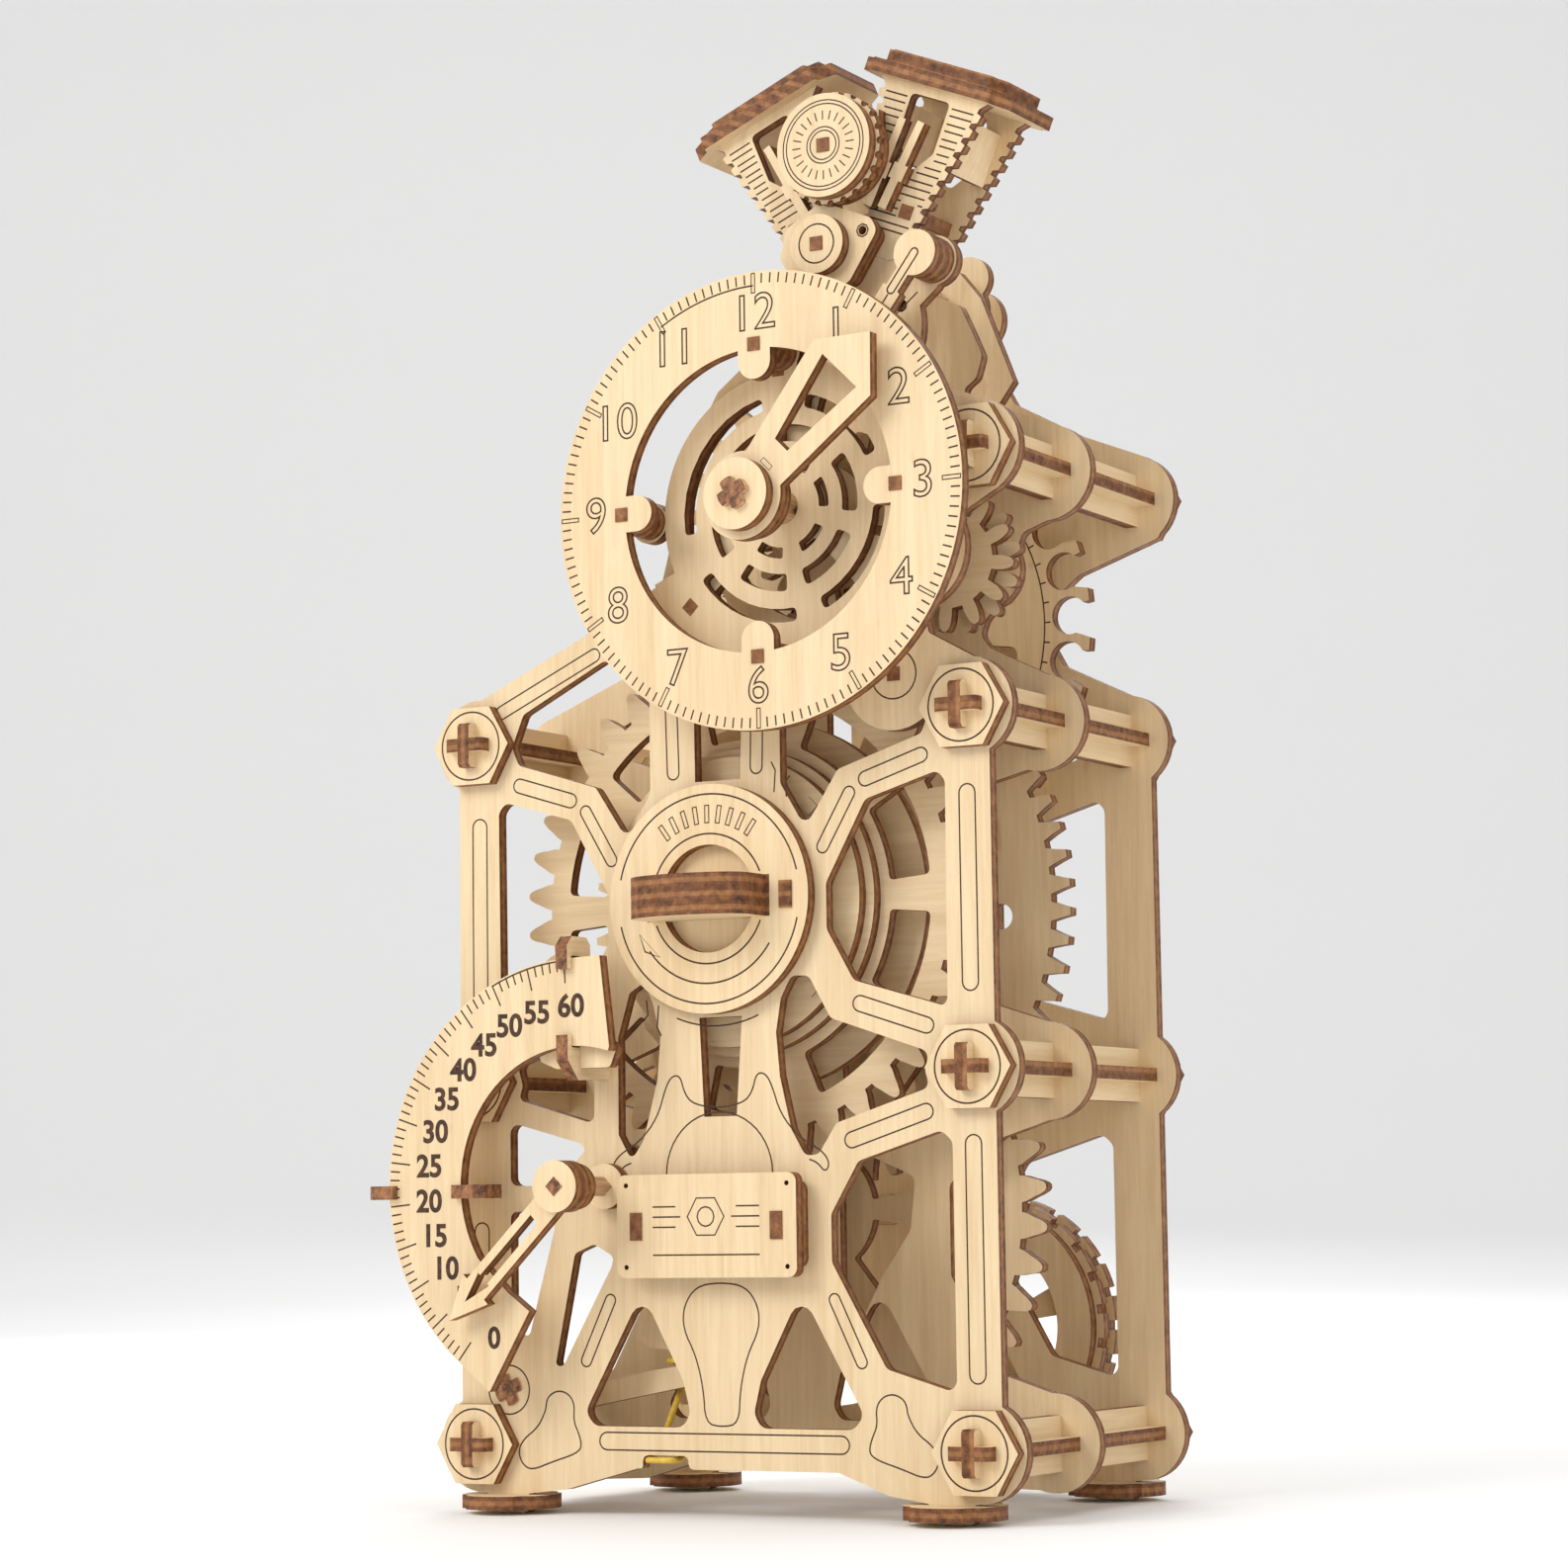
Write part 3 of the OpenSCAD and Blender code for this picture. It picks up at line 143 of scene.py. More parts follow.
def plywood(name, facing, start, seed, grain="z", shade=1.0):
    """Birch plywood: pale grained faces square to the facing directions, browned edges elsewhere.
    facing is a list of unit vectors, start the face position along the first, in metres."""
    g = Graph(name)
    coord = g.node("ShaderNodeTexCoord")
    normal, where = coord.outputs["Normal"], coord.outputs["Object"]
    facing_value = None
    for axis in facing:
        dot = g.node("ShaderNodeVectorMath", operation="DOT_PRODUCT")
        g.put(dot.inputs[0], normal)
        dot.inputs[1].default_value = axis
        size = g.math("ABSOLUTE", dot.outputs["Value"])
        facing_value = size if facing_value is None else g.math("MAXIMUM", facing_value, size)
    on_face = g.math("GREATER_THAN", facing_value, SQUARE_ON) if facing else 0.0

    # grain: long streaks, fine pores and a few brown flecks
    shift = (seed * 0.37, seed * 0.21, seed * 0.53)
    long_axis = {"x": (0.05, 1, 1), "y": (1, 0.05, 1), "z": (1, 1, 0.05)}[grain]
    short_fleck = tuple(0.35 if v < 1 else 1 for v in long_axis)
    streak_space = g.scaled(where, long_axis, shift)
    streak = g.noise(streak_space, 900.0, 4.0, 0.6, 0.4)
    band = g.noise(streak_space, 150.0, 2.0, 0.5, 0.8)
    pore = g.noise(streak_space, 3600.0, 1.0)
    fleck = g.noise(g.scaled(where, short_fleck, shift), 75.0, 2.0, 0.5, 1.5)
    tint = g.math("ADD", g.math("MULTIPLY", streak, 0.55), g.math("MULTIPLY", band, 0.45))
    dark, light = (tuple(c * shade for c in colour) for colour in (PALE_LOW, PALE))
    base = g.ramp(tint, [(0.30, dark), (0.62, light)])
    base = g.mix(g.math("MULTIPLY", g.math("GREATER_THAN", pore, 0.66), 0.10), base, KNOT)
    base = g.mix(g.ramp(fleck, [(0.70, grey(0)), (0.80, grey(0.45))]), base, KNOT)

    # edge: charred outside plies with uneven scorching; the lighter band along the middle ply is a
    # painted highlight, the glint along each cut edge
    if facing:
        along = g.node("ShaderNodeVectorMath", operation="DOT_PRODUCT")
        g.put(along.inputs[0], where)
        along.inputs[1].default_value = facing[0]
        depth = g.math("DIVIDE", g.math("SUBTRACT", along.outputs["Value"], start), PLY * MM)
        depth = g.math("FRACT", depth)
    else:
        depth = 0.5
    scorch = g.noise(where, 520.0, 4.0, 0.65)
    fine = g.noise(where, 2600.0, 2.0)
    # the bright middle third of this ramp is a painted highlight along the edge, mixed into the
    # scorch below
    glint_band_stops = [(0.0, 0.25), (0.30, 0.40), (0.36, 0.85), (0.64, 0.80), (0.70, 0.35), (1.0, 0.25)]
    glint_band = g.ramp(depth, [(at, grey(v)) for at, v in glint_band_stops]) if facing else 0.5
    scorch_and_glint = g.math("ADD", g.math("MULTIPLY", scorch, 0.85), g.math("MULTIPLY", glint_band, 0.38))
    edge = g.ramp(scorch_and_glint, [(0.36, CHAR), (0.60, TOAST), (0.86, GLOW)])
    edge = g.mix(g.math("MULTIPLY", fine, 0.35), edge, CHAR)
    colour = g.mix(on_face, edge, base) if facing else edge
    g.put(g.bsdf.inputs["Base Color"], colour)

    rough = g.math("ADD", g.math("MULTIPLY", streak, 0.16), 0.50)
    g.put(g.bsdf.inputs["Roughness"], rough)
    g.bsdf.inputs["Specular IOR Level"].default_value = 0.32
    bump = g.node("ShaderNodeBump")
    bump.inputs["Strength"].default_value = 0.22
    bump.inputs["Distance"].default_value = 0.00012
    g.put(bump.inputs["Height"], g.math("ADD", streak, g.math("MULTIPLY", fine, 0.5)))
    g.put(g.bsdf.inputs["Normal"], bump.outputs[0])
    return g.mat


def arbor_wood(name, seed):
    """Crossed strips seen along their length: toasted sides and charred ends."""
    g = Graph(name)
    coord = g.node("ShaderNodeTexCoord")
    parts = g.split(coord.outputs["Normal"])
    at_end = g.math("GREATER_THAN", g.math("ABSOLUTE", parts[1]), SQUARE_ON)
    along = g.noise(g.scaled(coord.outputs["Object"], (1, 0.06, 1), (seed, seed, seed)), 900.0, 3.0)
    scorch = g.noise(coord.outputs["Object"], 620.0, 4.0, 0.65)
    side = g.ramp(along, [(0.3, (0.36, 0.19, 0.085)), (0.7, (0.66, 0.46, 0.26))])
    end = g.ramp(scorch, [(0.36, CHAR), (0.52, TOAST), (0.70, GLOW)])
    g.put(g.bsdf.inputs["Base Color"], g.mix(at_end, side, end))
    g.put(g.bsdf.inputs["Roughness"], g.math("ADD", g.math("MULTIPLY", scorch, 0.2), 0.5))
    return g.mat


def clip_wood(name):
    """Both scale clips: the upright one faces sideways and the level one faces up."""
    g = Graph(name)
    coord = g.node("ShaderNodeTexCoord")
    normal, where = g.split(coord.outputs["Normal"]), g.split(coord.outputs["Object"])
    between_clips = -40
    level = g.math("LESS_THAN", where[0], place(between_clips, 0, 0).x)
    size_x, size_z = g.math("ABSOLUTE", normal[0]), g.math("ABSOLUTE", normal[2])
    size = g.math("ADD", g.math("MULTIPLY", level, size_z),
                  g.math("MULTIPLY", g.math("SUBTRACT", 1.0, level), size_x))
    on_face = g.math("GREATER_THAN", size, SQUARE_ON)
    streak = g.noise(g.scaled(coord.outputs["Object"], (1, 0.1, 1)), 800.0, 3.0)
    scorch = g.noise(coord.outputs["Object"], 560.0, 4.0, 0.65)
    base = g.ramp(streak, [(0.3, PALE_LOW), (0.7, PALE)])
    edge = g.ramp(scorch, [(0.34, CHAR), (0.52, TOAST), (0.72, GLOW)])
    g.put(g.bsdf.inputs["Base Color"], g.mix(on_face, edge, base))
    g.bsdf.inputs["Roughness"].default_value = 0.58
    return g.mat


def engraved():
    """The laser's dark line, a little uneven."""
    g = Graph("engraved_line")
    coord = g.node("ShaderNodeTexCoord")
    scorch = g.noise(coord.outputs["Object"], 900.0, 3.0)
    burn = g.ramp(scorch, [(0.3, (0.020, 0.008, 0.004)), (0.75, (0.10, 0.040, 0.016))])
    g.put(g.bsdf.inputs["Base Color"], burn)
    g.bsdf.inputs["Roughness"].default_value = 0.75
    return g.mat


def rubber():
    """Soft natural rubber, faintly clouded."""
    g = Graph("yellow_rubber")
    coord = g.node("ShaderNodeTexCoord")
    cloud = g.noise(coord.outputs["Object"], 900.0, 2.0)
    yellow = g.ramp(cloud, [(0.3, (0.62, 0.38, 0.035)), (0.7, (0.80, 0.54, 0.07))])
    g.put(g.bsdf.inputs["Base Color"], yellow)
    g.put(g.bsdf.inputs["Roughness"], g.math("ADD", g.math("MULTIPLY", cloud, 0.2), 0.35))
    return g.mat


X, Y, Z = (1, 0, 0), (0, 1, 0), (0, 0, 1)
LEAN = math.radians(22.5)  # of each cylinder from upright
POST_X = 62.5  # of the bolt columns, in millimetres
HEADS = [(math.sin(LEAN), 0, math.cos(LEAN)), (-math.sin(LEAN), 0, math.cos(LEAN))]
FACING = {
    "front_spacer_uprights": [X], "rear_spacer_uprights": [X],
    "front_spacer_flats": [Z], "rear_spacer_flats": [Z],
    "feet": [Z], "winding_grip": [Z], "cylinder_braces": [X],
    "head_lower_plies": HEADS, "head_upper_plies": HEADS, "square_pegs": [],
}
GRAIN = {  # along z where not named
    "front_spacer_uprights": "y", "rear_spacer_uprights": "y",
    "front_spacer_flats": "y", "rear_spacer_flats": "y",
    "winding_grip": "x", "feet": "x", "great_wheel": "x", "drum_rings": "x", "idler_gears": "x",
    "head_lower_plies": "x", "head_upper_plies": "x",
}
ARBORS = ["main_arbor", "hour_arbor", "idler_arbor", "lower_arbor", "escape_arbor", "anchor_arbor",
          "timer_arbor", "corner_axle"]

for seed, (name, obj) in enumerate(sorted(NODES.items())):
    if name == "rubber_band":
        mat = rubber()
    elif name in ARBORS:
        mat = arbor_wood("wood_" + name, seed)
    elif name == "timer_clips":
        mat = clip_wood("wood_" + name)
    else:
        facing = FACING.get(name, [Y])
        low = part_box(name)[0]
        start = sum(a * b for a, b in zip(low, facing[0])) if facing else 0.0
        if name in ("front_spacer_uprights", "rear_spacer_uprights"):
            start = place(-POST_X - PLY / 2, 0, 0).x
        shade = 0.94 + 0.07 * ((seed * 7) % 5) / 4
        mat = plywood("wood_" + name, facing, start, seed, GRAIN.get(name, "z"), shade)
    obj.data.materials.clear()
    obj.data.materials.append(mat)

# ---------- engraved lines ----------


def as_mesh(name, data):
    """The mesh of a curve or text, made by way of a short-lived object."""
    holder = bpy.data.objects.new(name + "_draft", data)
    bpy.context.scene.collection.objects.link(holder)
    bpy.context.view_layer.update()
    shown = holder.evaluated_get(bpy.context.evaluated_depsgraph_get())
    mesh = bpy.data.meshes.new_from_object(shown)
    bpy.data.objects.remove(holder)
    return mesh


INK = engraved()
LINE = 0.2  # half width of an engraved line, in millimetres
PROUD = 0.3  # share of the stroke's height kept, so that it lies nearly flush
CHORD = 60  # degrees times millimetres of radius that one straight piece of an arc spans


class Engraving:
    """Strokes on one flat face at depth y, all in one object that rides on a body."""

    def __init__(self, name, y, body, half=LINE):
        self.name, self.y, self.body, self.half = name, y, body, half
        self.strokes, self.texts = [], []

    def line(self, points, closed=False):
        self.strokes.append(([tuple(p) for p in points], closed))
        return self

    def arc(self, c, r, a0=0.0, a1=360.0, steps=None):
        full = abs(a1 - a0) >= 359.9
        steps = steps or max(6, int(abs(a1 - a0) * r / CHORD))
        count = steps if full else steps + 1
        angles = [math.radians(a0 + (a1 - a0) * k / steps) for k in range(count)]
        return self.line([(c[0] + r * math.cos(a), c[1] + r * math.sin(a)) for a in angles], full)

    def stadium(self, a, b, half):
        """A long rounded slot outline from a to b."""
        turn = math.atan2(b[1] - a[1], b[0] - a[0])
        points = []
        for centre, start in ((b, -90), (a, 90)):
            for k in range(9):
                t = turn + math.radians(start + 22.5 * k)
                points.append((centre[0] + half * math.cos(t), centre[1] + half * math.sin(t)))
        return self.line(points, True)

    def text(self, words, c, size, outline):
        self.texts.append((words, c, size, outline))
        return self

    def build(self):
        """One flattened mesh of all the strokes and texts, riding on its body."""
        parts = []
        curve = bpy.data.curves.new(self.name, "CURVE")
        curve.dimensions = "3D"
        curve.bevel_depth = self.half * MM
        curve.bevel_resolution = 0
        curve.use_fill_caps = True
        for points, closed in self.strokes:
            spline = curve.splines.new("POLY")
            spline.points.add(len(points) - 1)
            for knot, (x, z) in zip(spline.points, points):
                knot.co = (*place(x, self.y, z), 1.0)
            spline.use_cyclic_u = closed
        parts.append((curve, Matrix.Identity(4)))
        for words, c, size, outline in self.texts:
            font = bpy.data.curves.new(self.name, "FONT")
            font.body = words
            font.size = size * MM
            font.align_x, font.align_y = "CENTER", "CENTER"
            font.resolution_u = 5
            if outline:
                font.fill_mode = "NONE"
                font.bevel_depth = LINE * MM
                font.bevel_resolution = 0
            else:
                font.extrude = LINE / 2 * MM
                font.offset = LINE * MM
            upright = Matrix.Rotation(math.pi / 2, 4, "X")
            parts.append((font, Matrix.Translation(place(c[0], self.y, c[1])) @ upright))
        verts, faces = [], []
        for data, matrix in parts:
            mesh = as_mesh(self.name, data)
            start = len(verts)
            verts += [matrix @ v.co for v in mesh.vertices]
            faces += [[start + i for i in f.vertices] for f in mesh.polygons]
            bpy.data.meshes.remove(mesh)
        level = place(0, self.y, 0).y
        verts = [(v.x, level + (v.y - level) * PROUD, v.z) for v in verts]
        mesh = bpy.data.meshes.new(self.name)
        mesh.from_pydata(verts, [], faces)
        mesh.update()
        mesh.materials.append(INK)
        obj = bpy.data.objects.new(self.name, mesh)
        bpy.context.scene.collection.objects.link(obj)
        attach(obj, self.body)
        return obj


def polar(c, r, degrees):
    a = math.radians(degrees)
    return (c[0] + r * math.cos(a), c[1] + r * math.sin(a))


def radial(mark, c, r0, r1, degrees):
    mark.line([polar(c, r0, degrees), polar(c, r1, degrees)])


def smooth(points, closed=True, rounds=2):
    """A free-form outline with its corners cut off, once in each round."""
    for _ in range(rounds):
        pairs = list(zip(points, points[1:] + points[:1] if closed else points[1:]))
        cut = [tuple(p + (q - p) * f for p, q in zip(a, b)) for a, b in pairs for f in (0.25, 0.75)]
        points = cut if closed else [points[0]] + cut[1:-1] + [points[-1]]
    return points


def box_mark(mark, c, r0, r1, degrees, half):
    """A radial rectangle from r0 to r1, twice half wide, as the hour marks are drawn."""
    a = math.radians(degrees)
    side = (-math.sin(a) * half, math.cos(a) * half)
    inner, outer = polar(c, r0, degrees), polar(c, r1, degrees)
    corners = ((inner, 1), (outer, 1), (outer, -1), (inner, -1))
    mark.line([(p[0] + s * side[0], p[1] + s * side[1]) for p, s in corners], True)


# centres in the drawing, as (x, z) in millimetres
HOUR_C, MAIN_C, SCALE_C = (20.1, 202.9), (0.0, 118.5), (-27.6, 57.0)
CRANK_C, FILTER_C, CAM_C, SHIFT_C = (36.3, 240.5), (36.3, 279.3), (32.6, 258.7), (56.5, 253.6)
ESCAPE_C, AXLE_C, MOTIF_C, BASE_C = (2.9, 184.44), (-55.1, 11.9), (0, 49.6), (0, 58.8)
# depths of the engraved faces, and half widths of their lines
DIAL_Y, KNOB_Y, PLATE_Y, NAME_Y, FILTER_Y, CAP_Y, HAND_Y = -12.0, -0.5, 3.0, -3.0, -9.0, -6.0, -18.0
NUT_FRONT_Y, NUT_REAR_Y, ESCAPE_YS = 0.0, 88.0, (74.5, 77.5)
DIAL_LINE, PLATE_LINE, FILTER_LINE, HAND_LINE = 0.19, 0.18, 0.15, 0.11

# hour ring: ticks, boxed hour marks, one arc and twelve outlined numerals
TICKS, TICKS_PER_HOUR, NUMERAL_R, NUMERAL_SIZE = 144, 12, 40.7, 11.3
ring = Engraving("dial_marks", DIAL_Y, "frame", DIAL_LINE)
for k in range(TICKS):
    angle = 90 - 2.5 * k
    if k % TICKS_PER_HOUR:
        radial(ring, HOUR_C, 47.3, 49.5, angle)
    else:
        box_mark(ring, HOUR_C, 45.3, 49.6, angle, 0.42)
ring.arc(HOUR_C, 46.9, 90, 120)
for hour in range(1, 13):
    ring.text(str(hour), polar(HOUR_C, NUMERAL_R, 90 - 30 * hour), NUMERAL_SIZE, True)
ring.build()

# timer scale: minute ticks, longer ticks each five minutes and filled numerals
ZERO, PER_MINUTE, FULL = 231.2, 2.307, 60  # degrees at 0, degrees a minute, minutes
ZERO_SPOT = (-48.9, 23.6)  # the 0 sits on its own tab
scale = Engraving("timer_marks", DIAL_Y, "frame", DIAL_LINE)
for minute in range(FULL + 1):
    angle = ZERO - PER_MINUTE * minute
    radial(scale, SCALE_C, 43.8 if minute % 5 == 0 else 46.4, 48.9, angle)
scale.arc(SCALE_C, 48.7, ZERO - PER_MINUTE * FULL, ZERO - PER_MINUTE * 50)
for minute in range(0, FULL + 1, 5):
    spot = polar(SCALE_C, 38.6, ZERO - PER_MINUTE * minute)
    if minute == 0:
        spot = ZERO_SPOT
    if minute == FULL:
        spot = (spot[0] + 1.2, spot[1])
    scale.text(str(minute), spot, 6.9 if minute else 6.5, False)
scale.build()

# winding knob: broken circles, a turning arrow and a plain row of boxes
knob = Engraving("knob_marks", KNOB_Y, "knob")
for r, gap in ((22.9, 13), (14.2, 22)):
    knob.arc(MAIN_C, r, gap, 180 - gap)
    knob.arc(MAIN_C, r, 180 + gap, 360 - gap)
knob.arc(MAIN_C, 18.5, 216, 326)
knob.line([(-16.2, 107.6), (-17.6, 111.4), (-12.4, 106.2)], True)
for k in range(-4, 5):
    box_mark(knob, MAIN_C, 16.6, 20.4, 90 + 9 * k, 0.5)
knob.build()

# nuts: a circle round each cross
BOLTS = [(x, z) for x in (-POST_X, POST_X) for z in (156.4, 80.1, 0)] + [(65.3, 211.8)]
NUT_CIRCLE = 7.73
for title, y in (("nut_circles", NUT_FRONT_Y), ("rear_nut_circles", NUT_REAR_Y)):
    nuts = Engraving(title, y, "frame")
    for bolt in BOLTS:
        nuts.arc(bolt, NUT_CIRCLE)
    nuts.build()

# front plate: slot outlines on posts, arms and rail, and shapes round the name plate
SLOT_X, FOOT_SLOTS = 62.1, {-1: (26, 47), 1: (16, 64)}
bell = [(41.9, 11.9), (44.3, 10.9), (45.2, 9.4), (45.4, 7.4), (47.5, 3.7), (51.3, 1.1),
        (52.8, -1.5), (51.7, -4.4), (49.2, -5.7), (43.6, -3.7), (38.5, -2.2), (36.4, -1.0),
        (36.1, 0.4), (36.8, 2.6), (38.1, 5.2), (37.8, 8.9), (39.3, 11.1)]
slits = [[(14.4, 29.3), (15.4, 27.4), (15.0, 22.6)], [(19.0, 26.0), (17.8, 24.6), (18.1, 21.4)]]
plate = Engraving("plate_lines", PLATE_Y, "frame", PLATE_LINE)
for s in (-1, 1):
    low, high = FOOT_SLOTS[s]
    plate.stadium((s * SLOT_X, 98), (s * SLOT_X, 138), 1.9)
    plate.stadium((s * SLOT_X, low), (s * SLOT_X, high), 1.9)
    plate.stadium((s * 37.6, 142.6), (s * 51.2, 146.8), 1.6)
    plate.stadium((s * 33.6, 139.8), (s * 26.9, 128.6), 1.4)
    plate.stadium((s * 35.5, 94.4), (s * 51.5, 89.2), 1.7)
    plate.stadium((s * 34.6, 18.4), (s * 28.2, 31.6), 1.3)
    plate.stadium((s * 10.6, 147), (s * 11.2, 170), 1.5)
    plate.line(smooth([(s * x, z) for x, z in bell]), True)
    for slit in slits:  # sprung slits above and below the knob
        plate.line([(s * x, MAIN_C[1] + s * rise) for x, rise in slit])
plate.stadium((33, 65.4), (51, 71), 1.7)
plate.stadium((-29.4, 1.0), (29.4, 1.0), 1.9)
plate.stadium((-56, 163.8), (-31, 174.9), 1.5)
plate.arc(MAIN_C, 27.6, -68, -112, 12)
arch = [(22.5, 61.5), (24.5, 60.8), (26.4, 58.6), (27.6, 60.6), (25.6, 63.4), (20.4, 66.0),
        (15.6, 71.2), (13.3, 78.2), (11.6, 80.4), (9.6, 80.2), (8.6, 76.4), (6.4, 74.0), (0, 73.0)]
plate.line(smooth(arch + [(-x, z) for x, z in arch[-2::-1]], False))
plate.arc(BASE_C, 13.4, 0, 180, 24)
keyhole = [(0, 35.4), (6.2, 34.6), (9.4, 30.4), (9.6, 25.4),
           (6.4, 19.6), (4.6, 12.4), (4.2, 5.2), (0, 4.4)]
plate.line(smooth(keyhole + [(-x, z) for x, z in keyhole[-2:0:-1]]), True)
plate.arc((45, 164.7), 5.4)
plate.arc(AXLE_C, 5.4)
plate.line([(42.6, 236.2), (45.6, 241.8), (52.4, 247.2)])
plate.build()

# name plate: a plain hexagon motif between short bars, over a long one
BAR_END = 13.4
motif = Engraving("plate_motif", NAME_Y, "frame", PLATE_LINE)
motif.line([polar(MOTIF_C, 4.6, 60 * k) for k in range(6)], True)
motif.arc(MOTIF_C, 2.1)
for s in (-1, 1):
    for x, z in ((6.4, 49.6), (7.6, 47.4), (7.6, 51.8)):
        motif.line([(s * x, z), (s * BAR_END, z)])
motif.line([(-BAR_END, 41.4), (BAR_END, 41.4)])
motif.build()

# engine: circles and ticks on the filter, a circle on the cap and a slot on the shift lever
filt = Engraving("filter_marks", FILTER_Y, "frame", FILTER_LINE)
for r in (9.9, 9.1, 4.0, 3.2):
    filt.arc(FILTER_C, r, steps=40)
for k in range(24):
    radial(filt, FILTER_C, 5.6, 7.6, 15 * k)
filt.build()
cap = Engraving("cap_circle", CAP_Y, "frame", DIAL_LINE)
cap.arc(CAM_C, 4.3)
cap.stadium(SHIFT_C, polar(SHIFT_C, 9.4, 232), 0.9)
radial(cap, SHIFT_C, 10.6, 17.8, 232)
cap.build()
cover = Engraving("cover_ring", NAME_Y, "frame", DIAL_LINE)
cover.arc((42.4, 260.9), 1.4)
cover.build()


def cylinder_point(s, across, along):
    """A point of the drawing, from its place across and along one leaning cylinder."""
    a = s * LEAN
    return (CRANK_C[0] + across * math.cos(a) + along * math.sin(a),
            CRANK_C[1] + along * math.cos(a) - across * math.sin(a))


# finned sides, measured along each cylinder from the crank: fins, the peg and the window
FIN_FIRST, FIN_PITCH, FIN_COUNT, FIN_LINES = 23.2, 3.4, 9, (0.0, 1.55)
PEG_LOW, PEG_HIGH, PEG_X, PEG_CLEAR = 25.6, 30.4, 3.2, 2.2
WINDOW_LOW, WINDOW_FULL = 36.6, 41
SHORTEST = 0.6  # shorter pieces of a fin line are left out


def fin_spans(s, z, wide):
    """The stretches of one fin line that run over wood, as (from, to) across the cylinder."""
    if z < WINDOW_LOW:
        if PEG_LOW < z < PEG_HIGH:
            return [(-wide, s * PEG_X - PEG_CLEAR), (s * PEG_X + PEG_CLEAR, wide)]
        return [(-wide, wide)]
    inner = 5.8 if z > WINDOW_FULL else 1.5 + (z - WINDOW_LOW) * 0.95 + 0.8
    return [(-wide, -inner), (inner, wide)]


fins = Engraving("fin_lines", PLATE_Y, "frame", DIAL_LINE)
for s in (-1, 1):
    for k in range(FIN_COUNT):
        along = FIN_FIRST + FIN_PITCH * k
        wide = 7 + (along - 25) * 0.2333 - 1.5
        for shift in FIN_LINES:
            for a, b in fin_spans(s, along + shift, wide):
                if b - a > SHORTEST:
                    fins.line([cylinder_point(s, a, along + shift),
                               cylinder_point(s, b, along + shift)])
fins.build()

# hour hand: a short slot outline beside the hub
hand = Engraving("hand_mark", HAND_Y, "hour_train", HAND_LINE)
box_mark(hand, HOUR_C, 8.2, 9.3, 45, 1.5)
hand.build()

# escape wheel: an engraved circle with ticks on both faces
RIM, RIM_TICK = 43.4, 44.9
for index, y in enumerate(ESCAPE_YS):
    wheel = Engraving("escape_circle_%d" % index, y, "escape", PLATE_LINE)
    wheel.arc(ESCAPE_C, RIM)
    for k in range(60):
        radial(wheel, ESCAPE_C, RIM, RIM_TICK, 6 * k)
    wheel.build()

# ---------- rubber band ----------

# A closed loop: round the lever's neck, down behind the lever and under the bottom rail
LOOP = [(-19.4, 13.1, 18.2), (-11.8, 13.1, 18.2), (-11.7, 15.5, 17.9), (-12.0, 17.8, 17.0),
        (-12.0, 17.9, 12.0), (-12.0, 7.2, -2.2), (-12.2, 4.6, -2.9), (-12.8, 2.2, -2.9),
        (-18.4, 2.2, -2.9), (-19.0, 4.6, -2.9), (-19.2, 7.2, -2.2), (-19.2, 17.9, 12.0),
        (-19.2, 17.8, 17.0), (-19.5, 15.5, 17.9)]
BAND_RADIUS, KNOT_GAP = 0.7, 1.0
knots = []
for a, b in zip(LOOP, LOOP[1:] + LOOP[:1]):
    count = max(1, int(math.dist(a, b) / KNOT_GAP))
    knots += [tuple(p + (q - p) * k / count for p, q in zip(a, b)) for k in range(count)]
curve = bpy.data.curves.new("band_draft", "CURVE")
curve.dimensions = "3D"
curve.bevel_depth, curve.bevel_resolution = BAND_RADIUS * MM, 2
spline = curve.splines.new("POLY")
spline.points.add(len(knots) - 1)
for knot, point in zip(spline.points, knots):
    knot.co = (*place(*point), 1.0)
spline.use_cyclic_u = True
mesh = as_mesh("band", curve)
mesh.name = "stretched_band"
mesh.materials.clear()
mesh.materials.append(rubber())
for face in mesh.polygons:
    face.use_smooth = True
band = bpy.data.objects.new("stretched_band", mesh)
bpy.context.scene.collection.objects.link(band)
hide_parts("rubber_band")
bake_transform(band)

# ---------- stage, light and camera ----------


def plain(name, colour, rough):
    """One flat colour, for the floor."""
    g = Graph(name)
    g.bsdf.inputs["Base Color"].default_value = (*colour, 1.0)
    g.bsdf.inputs["Roughness"].default_value = rough
    return g.mat


# a floor that curves up into a wall behind, in metres
REACH, RISE, BACK, DROP, TURN = 6.0, 4.0, 2.6, 0.0002, 29.8
profile = [(-REACH, 0.0), (BACK - 1.0, 0.0)]
for a in map(math.radians, range(10, 91, 10)):
    profile.append((BACK - 1.0 + math.sin(a), 1.0 - math.cos(a)))
profile += [(BACK, RISE)]
mesh = bpy.data.meshes.new("floor")
mesh.from_pydata([(x, y, z) for y, z in profile for x in (-REACH, REACH)], [],
                 [(2 * i, 2 * i + 1, 2 * i + 3, 2 * i + 2) for i in range(len(profile) - 1)])
for face in mesh.polygons:
    face.use_smooth = True
floor = bpy.data.objects.new("floor", mesh)
floor.rotation_euler[2] = math.radians(TURN)
floor.location[2] = -DROP
mesh.materials.append(plain("floor_white", (0.93, 0.93, 0.93), 0.9))
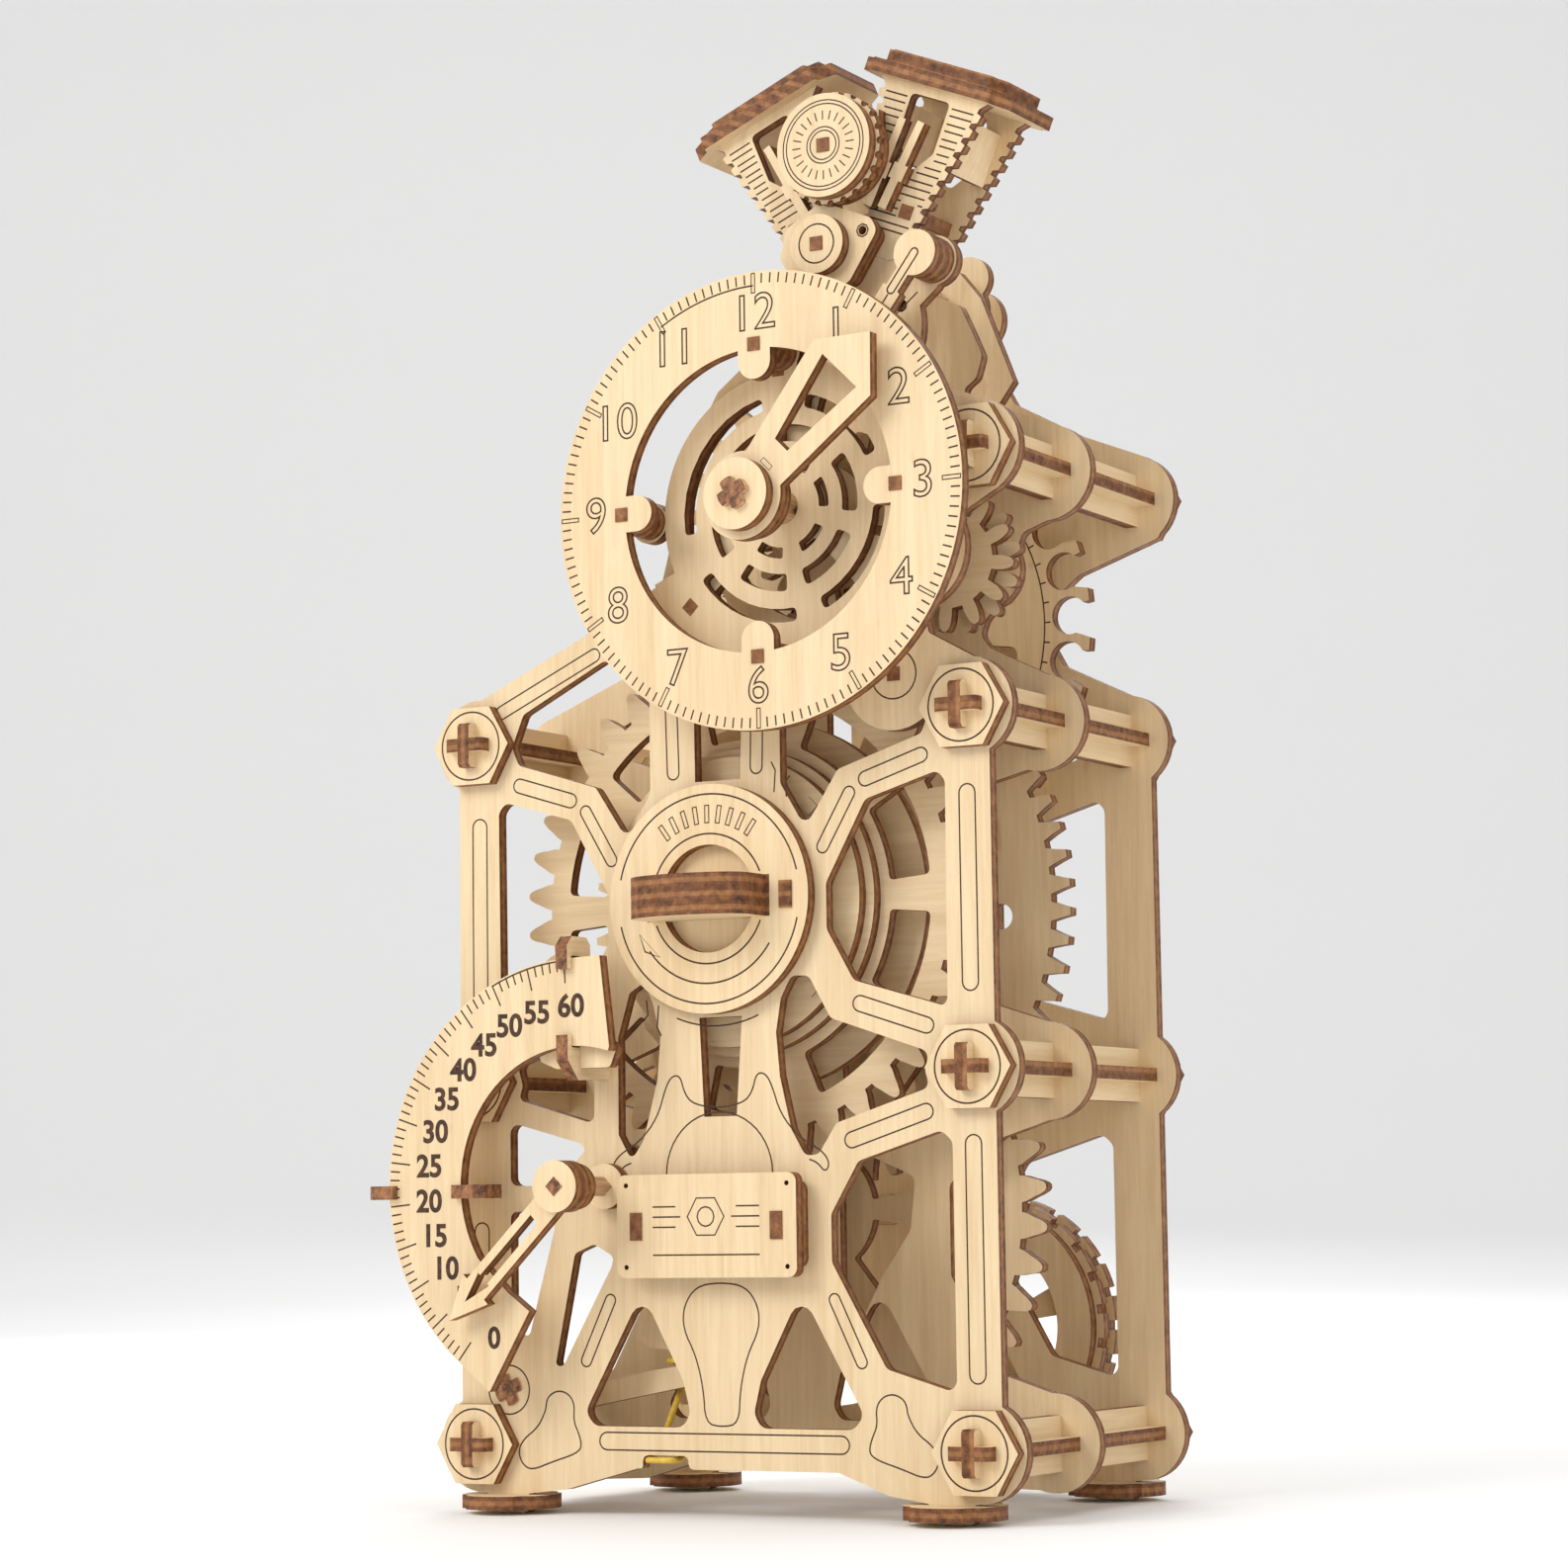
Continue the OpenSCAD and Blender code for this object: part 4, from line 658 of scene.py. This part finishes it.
bpy.context.scene.collection.objects.link(floor)


def area(name, position, target, size, power, colour=(1, 1, 1)):
    """A soft round lamp aimed at a point."""
    data = bpy.data.lights.new(name, "AREA")
    data.shape, data.size, data.energy, data.color = "DISK", size, power, colour
    lamp = bpy.data.objects.new(name, data)
    lamp.location = position
    lamp.rotation_euler = (Vector(target) - Vector(position)).to_track_quat("-Z", "Y").to_euler()
    bpy.context.scene.collection.objects.link(lamp)


CENTRE = (0.0, 0.0, 0.16)
area("key", (-0.55, -1.25, 1.0), CENTRE, 0.9, 13.0, (1.0, 0.985, 0.96))
area("fill", (1.5, -0.55, 0.55), CENTRE, 1.2, 4.0)
area("top", (0.1, 0.3, 1.7), CENTRE, 1.4, 7.0)
area("rear", (-0.6, 1.4, 0.9), CENTRE, 1.2, 7.0)

world = bpy.data.worlds.new("studio")
bpy.context.scene.world = world
world.use_nodes = True
backdrop = world.node_tree.nodes["Background"].inputs
backdrop[0].default_value = (1.0, 1.0, 1.0, 1.0)
backdrop[1].default_value = 0.66

# the camera fitted to the photo
AZIMUTH, TILT, ROLL = math.radians(29.79), math.radians(6.19), math.radians(-0.793)
CAMERA_AT, LENS_MM, SENSOR_MM = (447.75, -748.48, 48.83), 92.08, 36.0
forward = Vector((-math.sin(AZIMUTH) * math.cos(TILT),
                  math.cos(AZIMUTH) * math.cos(TILT), math.sin(TILT)))
right = Vector((math.cos(AZIMUTH), math.sin(AZIMUTH), 0.0))
up = right.cross(forward)
right, up = (math.cos(ROLL) * right + math.sin(ROLL) * up,
             -math.sin(ROLL) * right + math.cos(ROLL) * up)
lens = bpy.data.cameras.new("camera")
lens.lens, lens.sensor_width, lens.clip_start, lens.clip_end = LENS_MM, SENSOR_MM, 0.01, 50.0
camera = bpy.data.objects.new("camera", lens)
camera.matrix_world = Matrix((right, up, -forward)).transposed().to_4x4()
camera.location = place(*CAMERA_AT)
bpy.context.scene.collection.objects.link(camera)
bpy.context.scene.camera = camera
bpy.context.scene.view_settings.view_transform = "Standard"
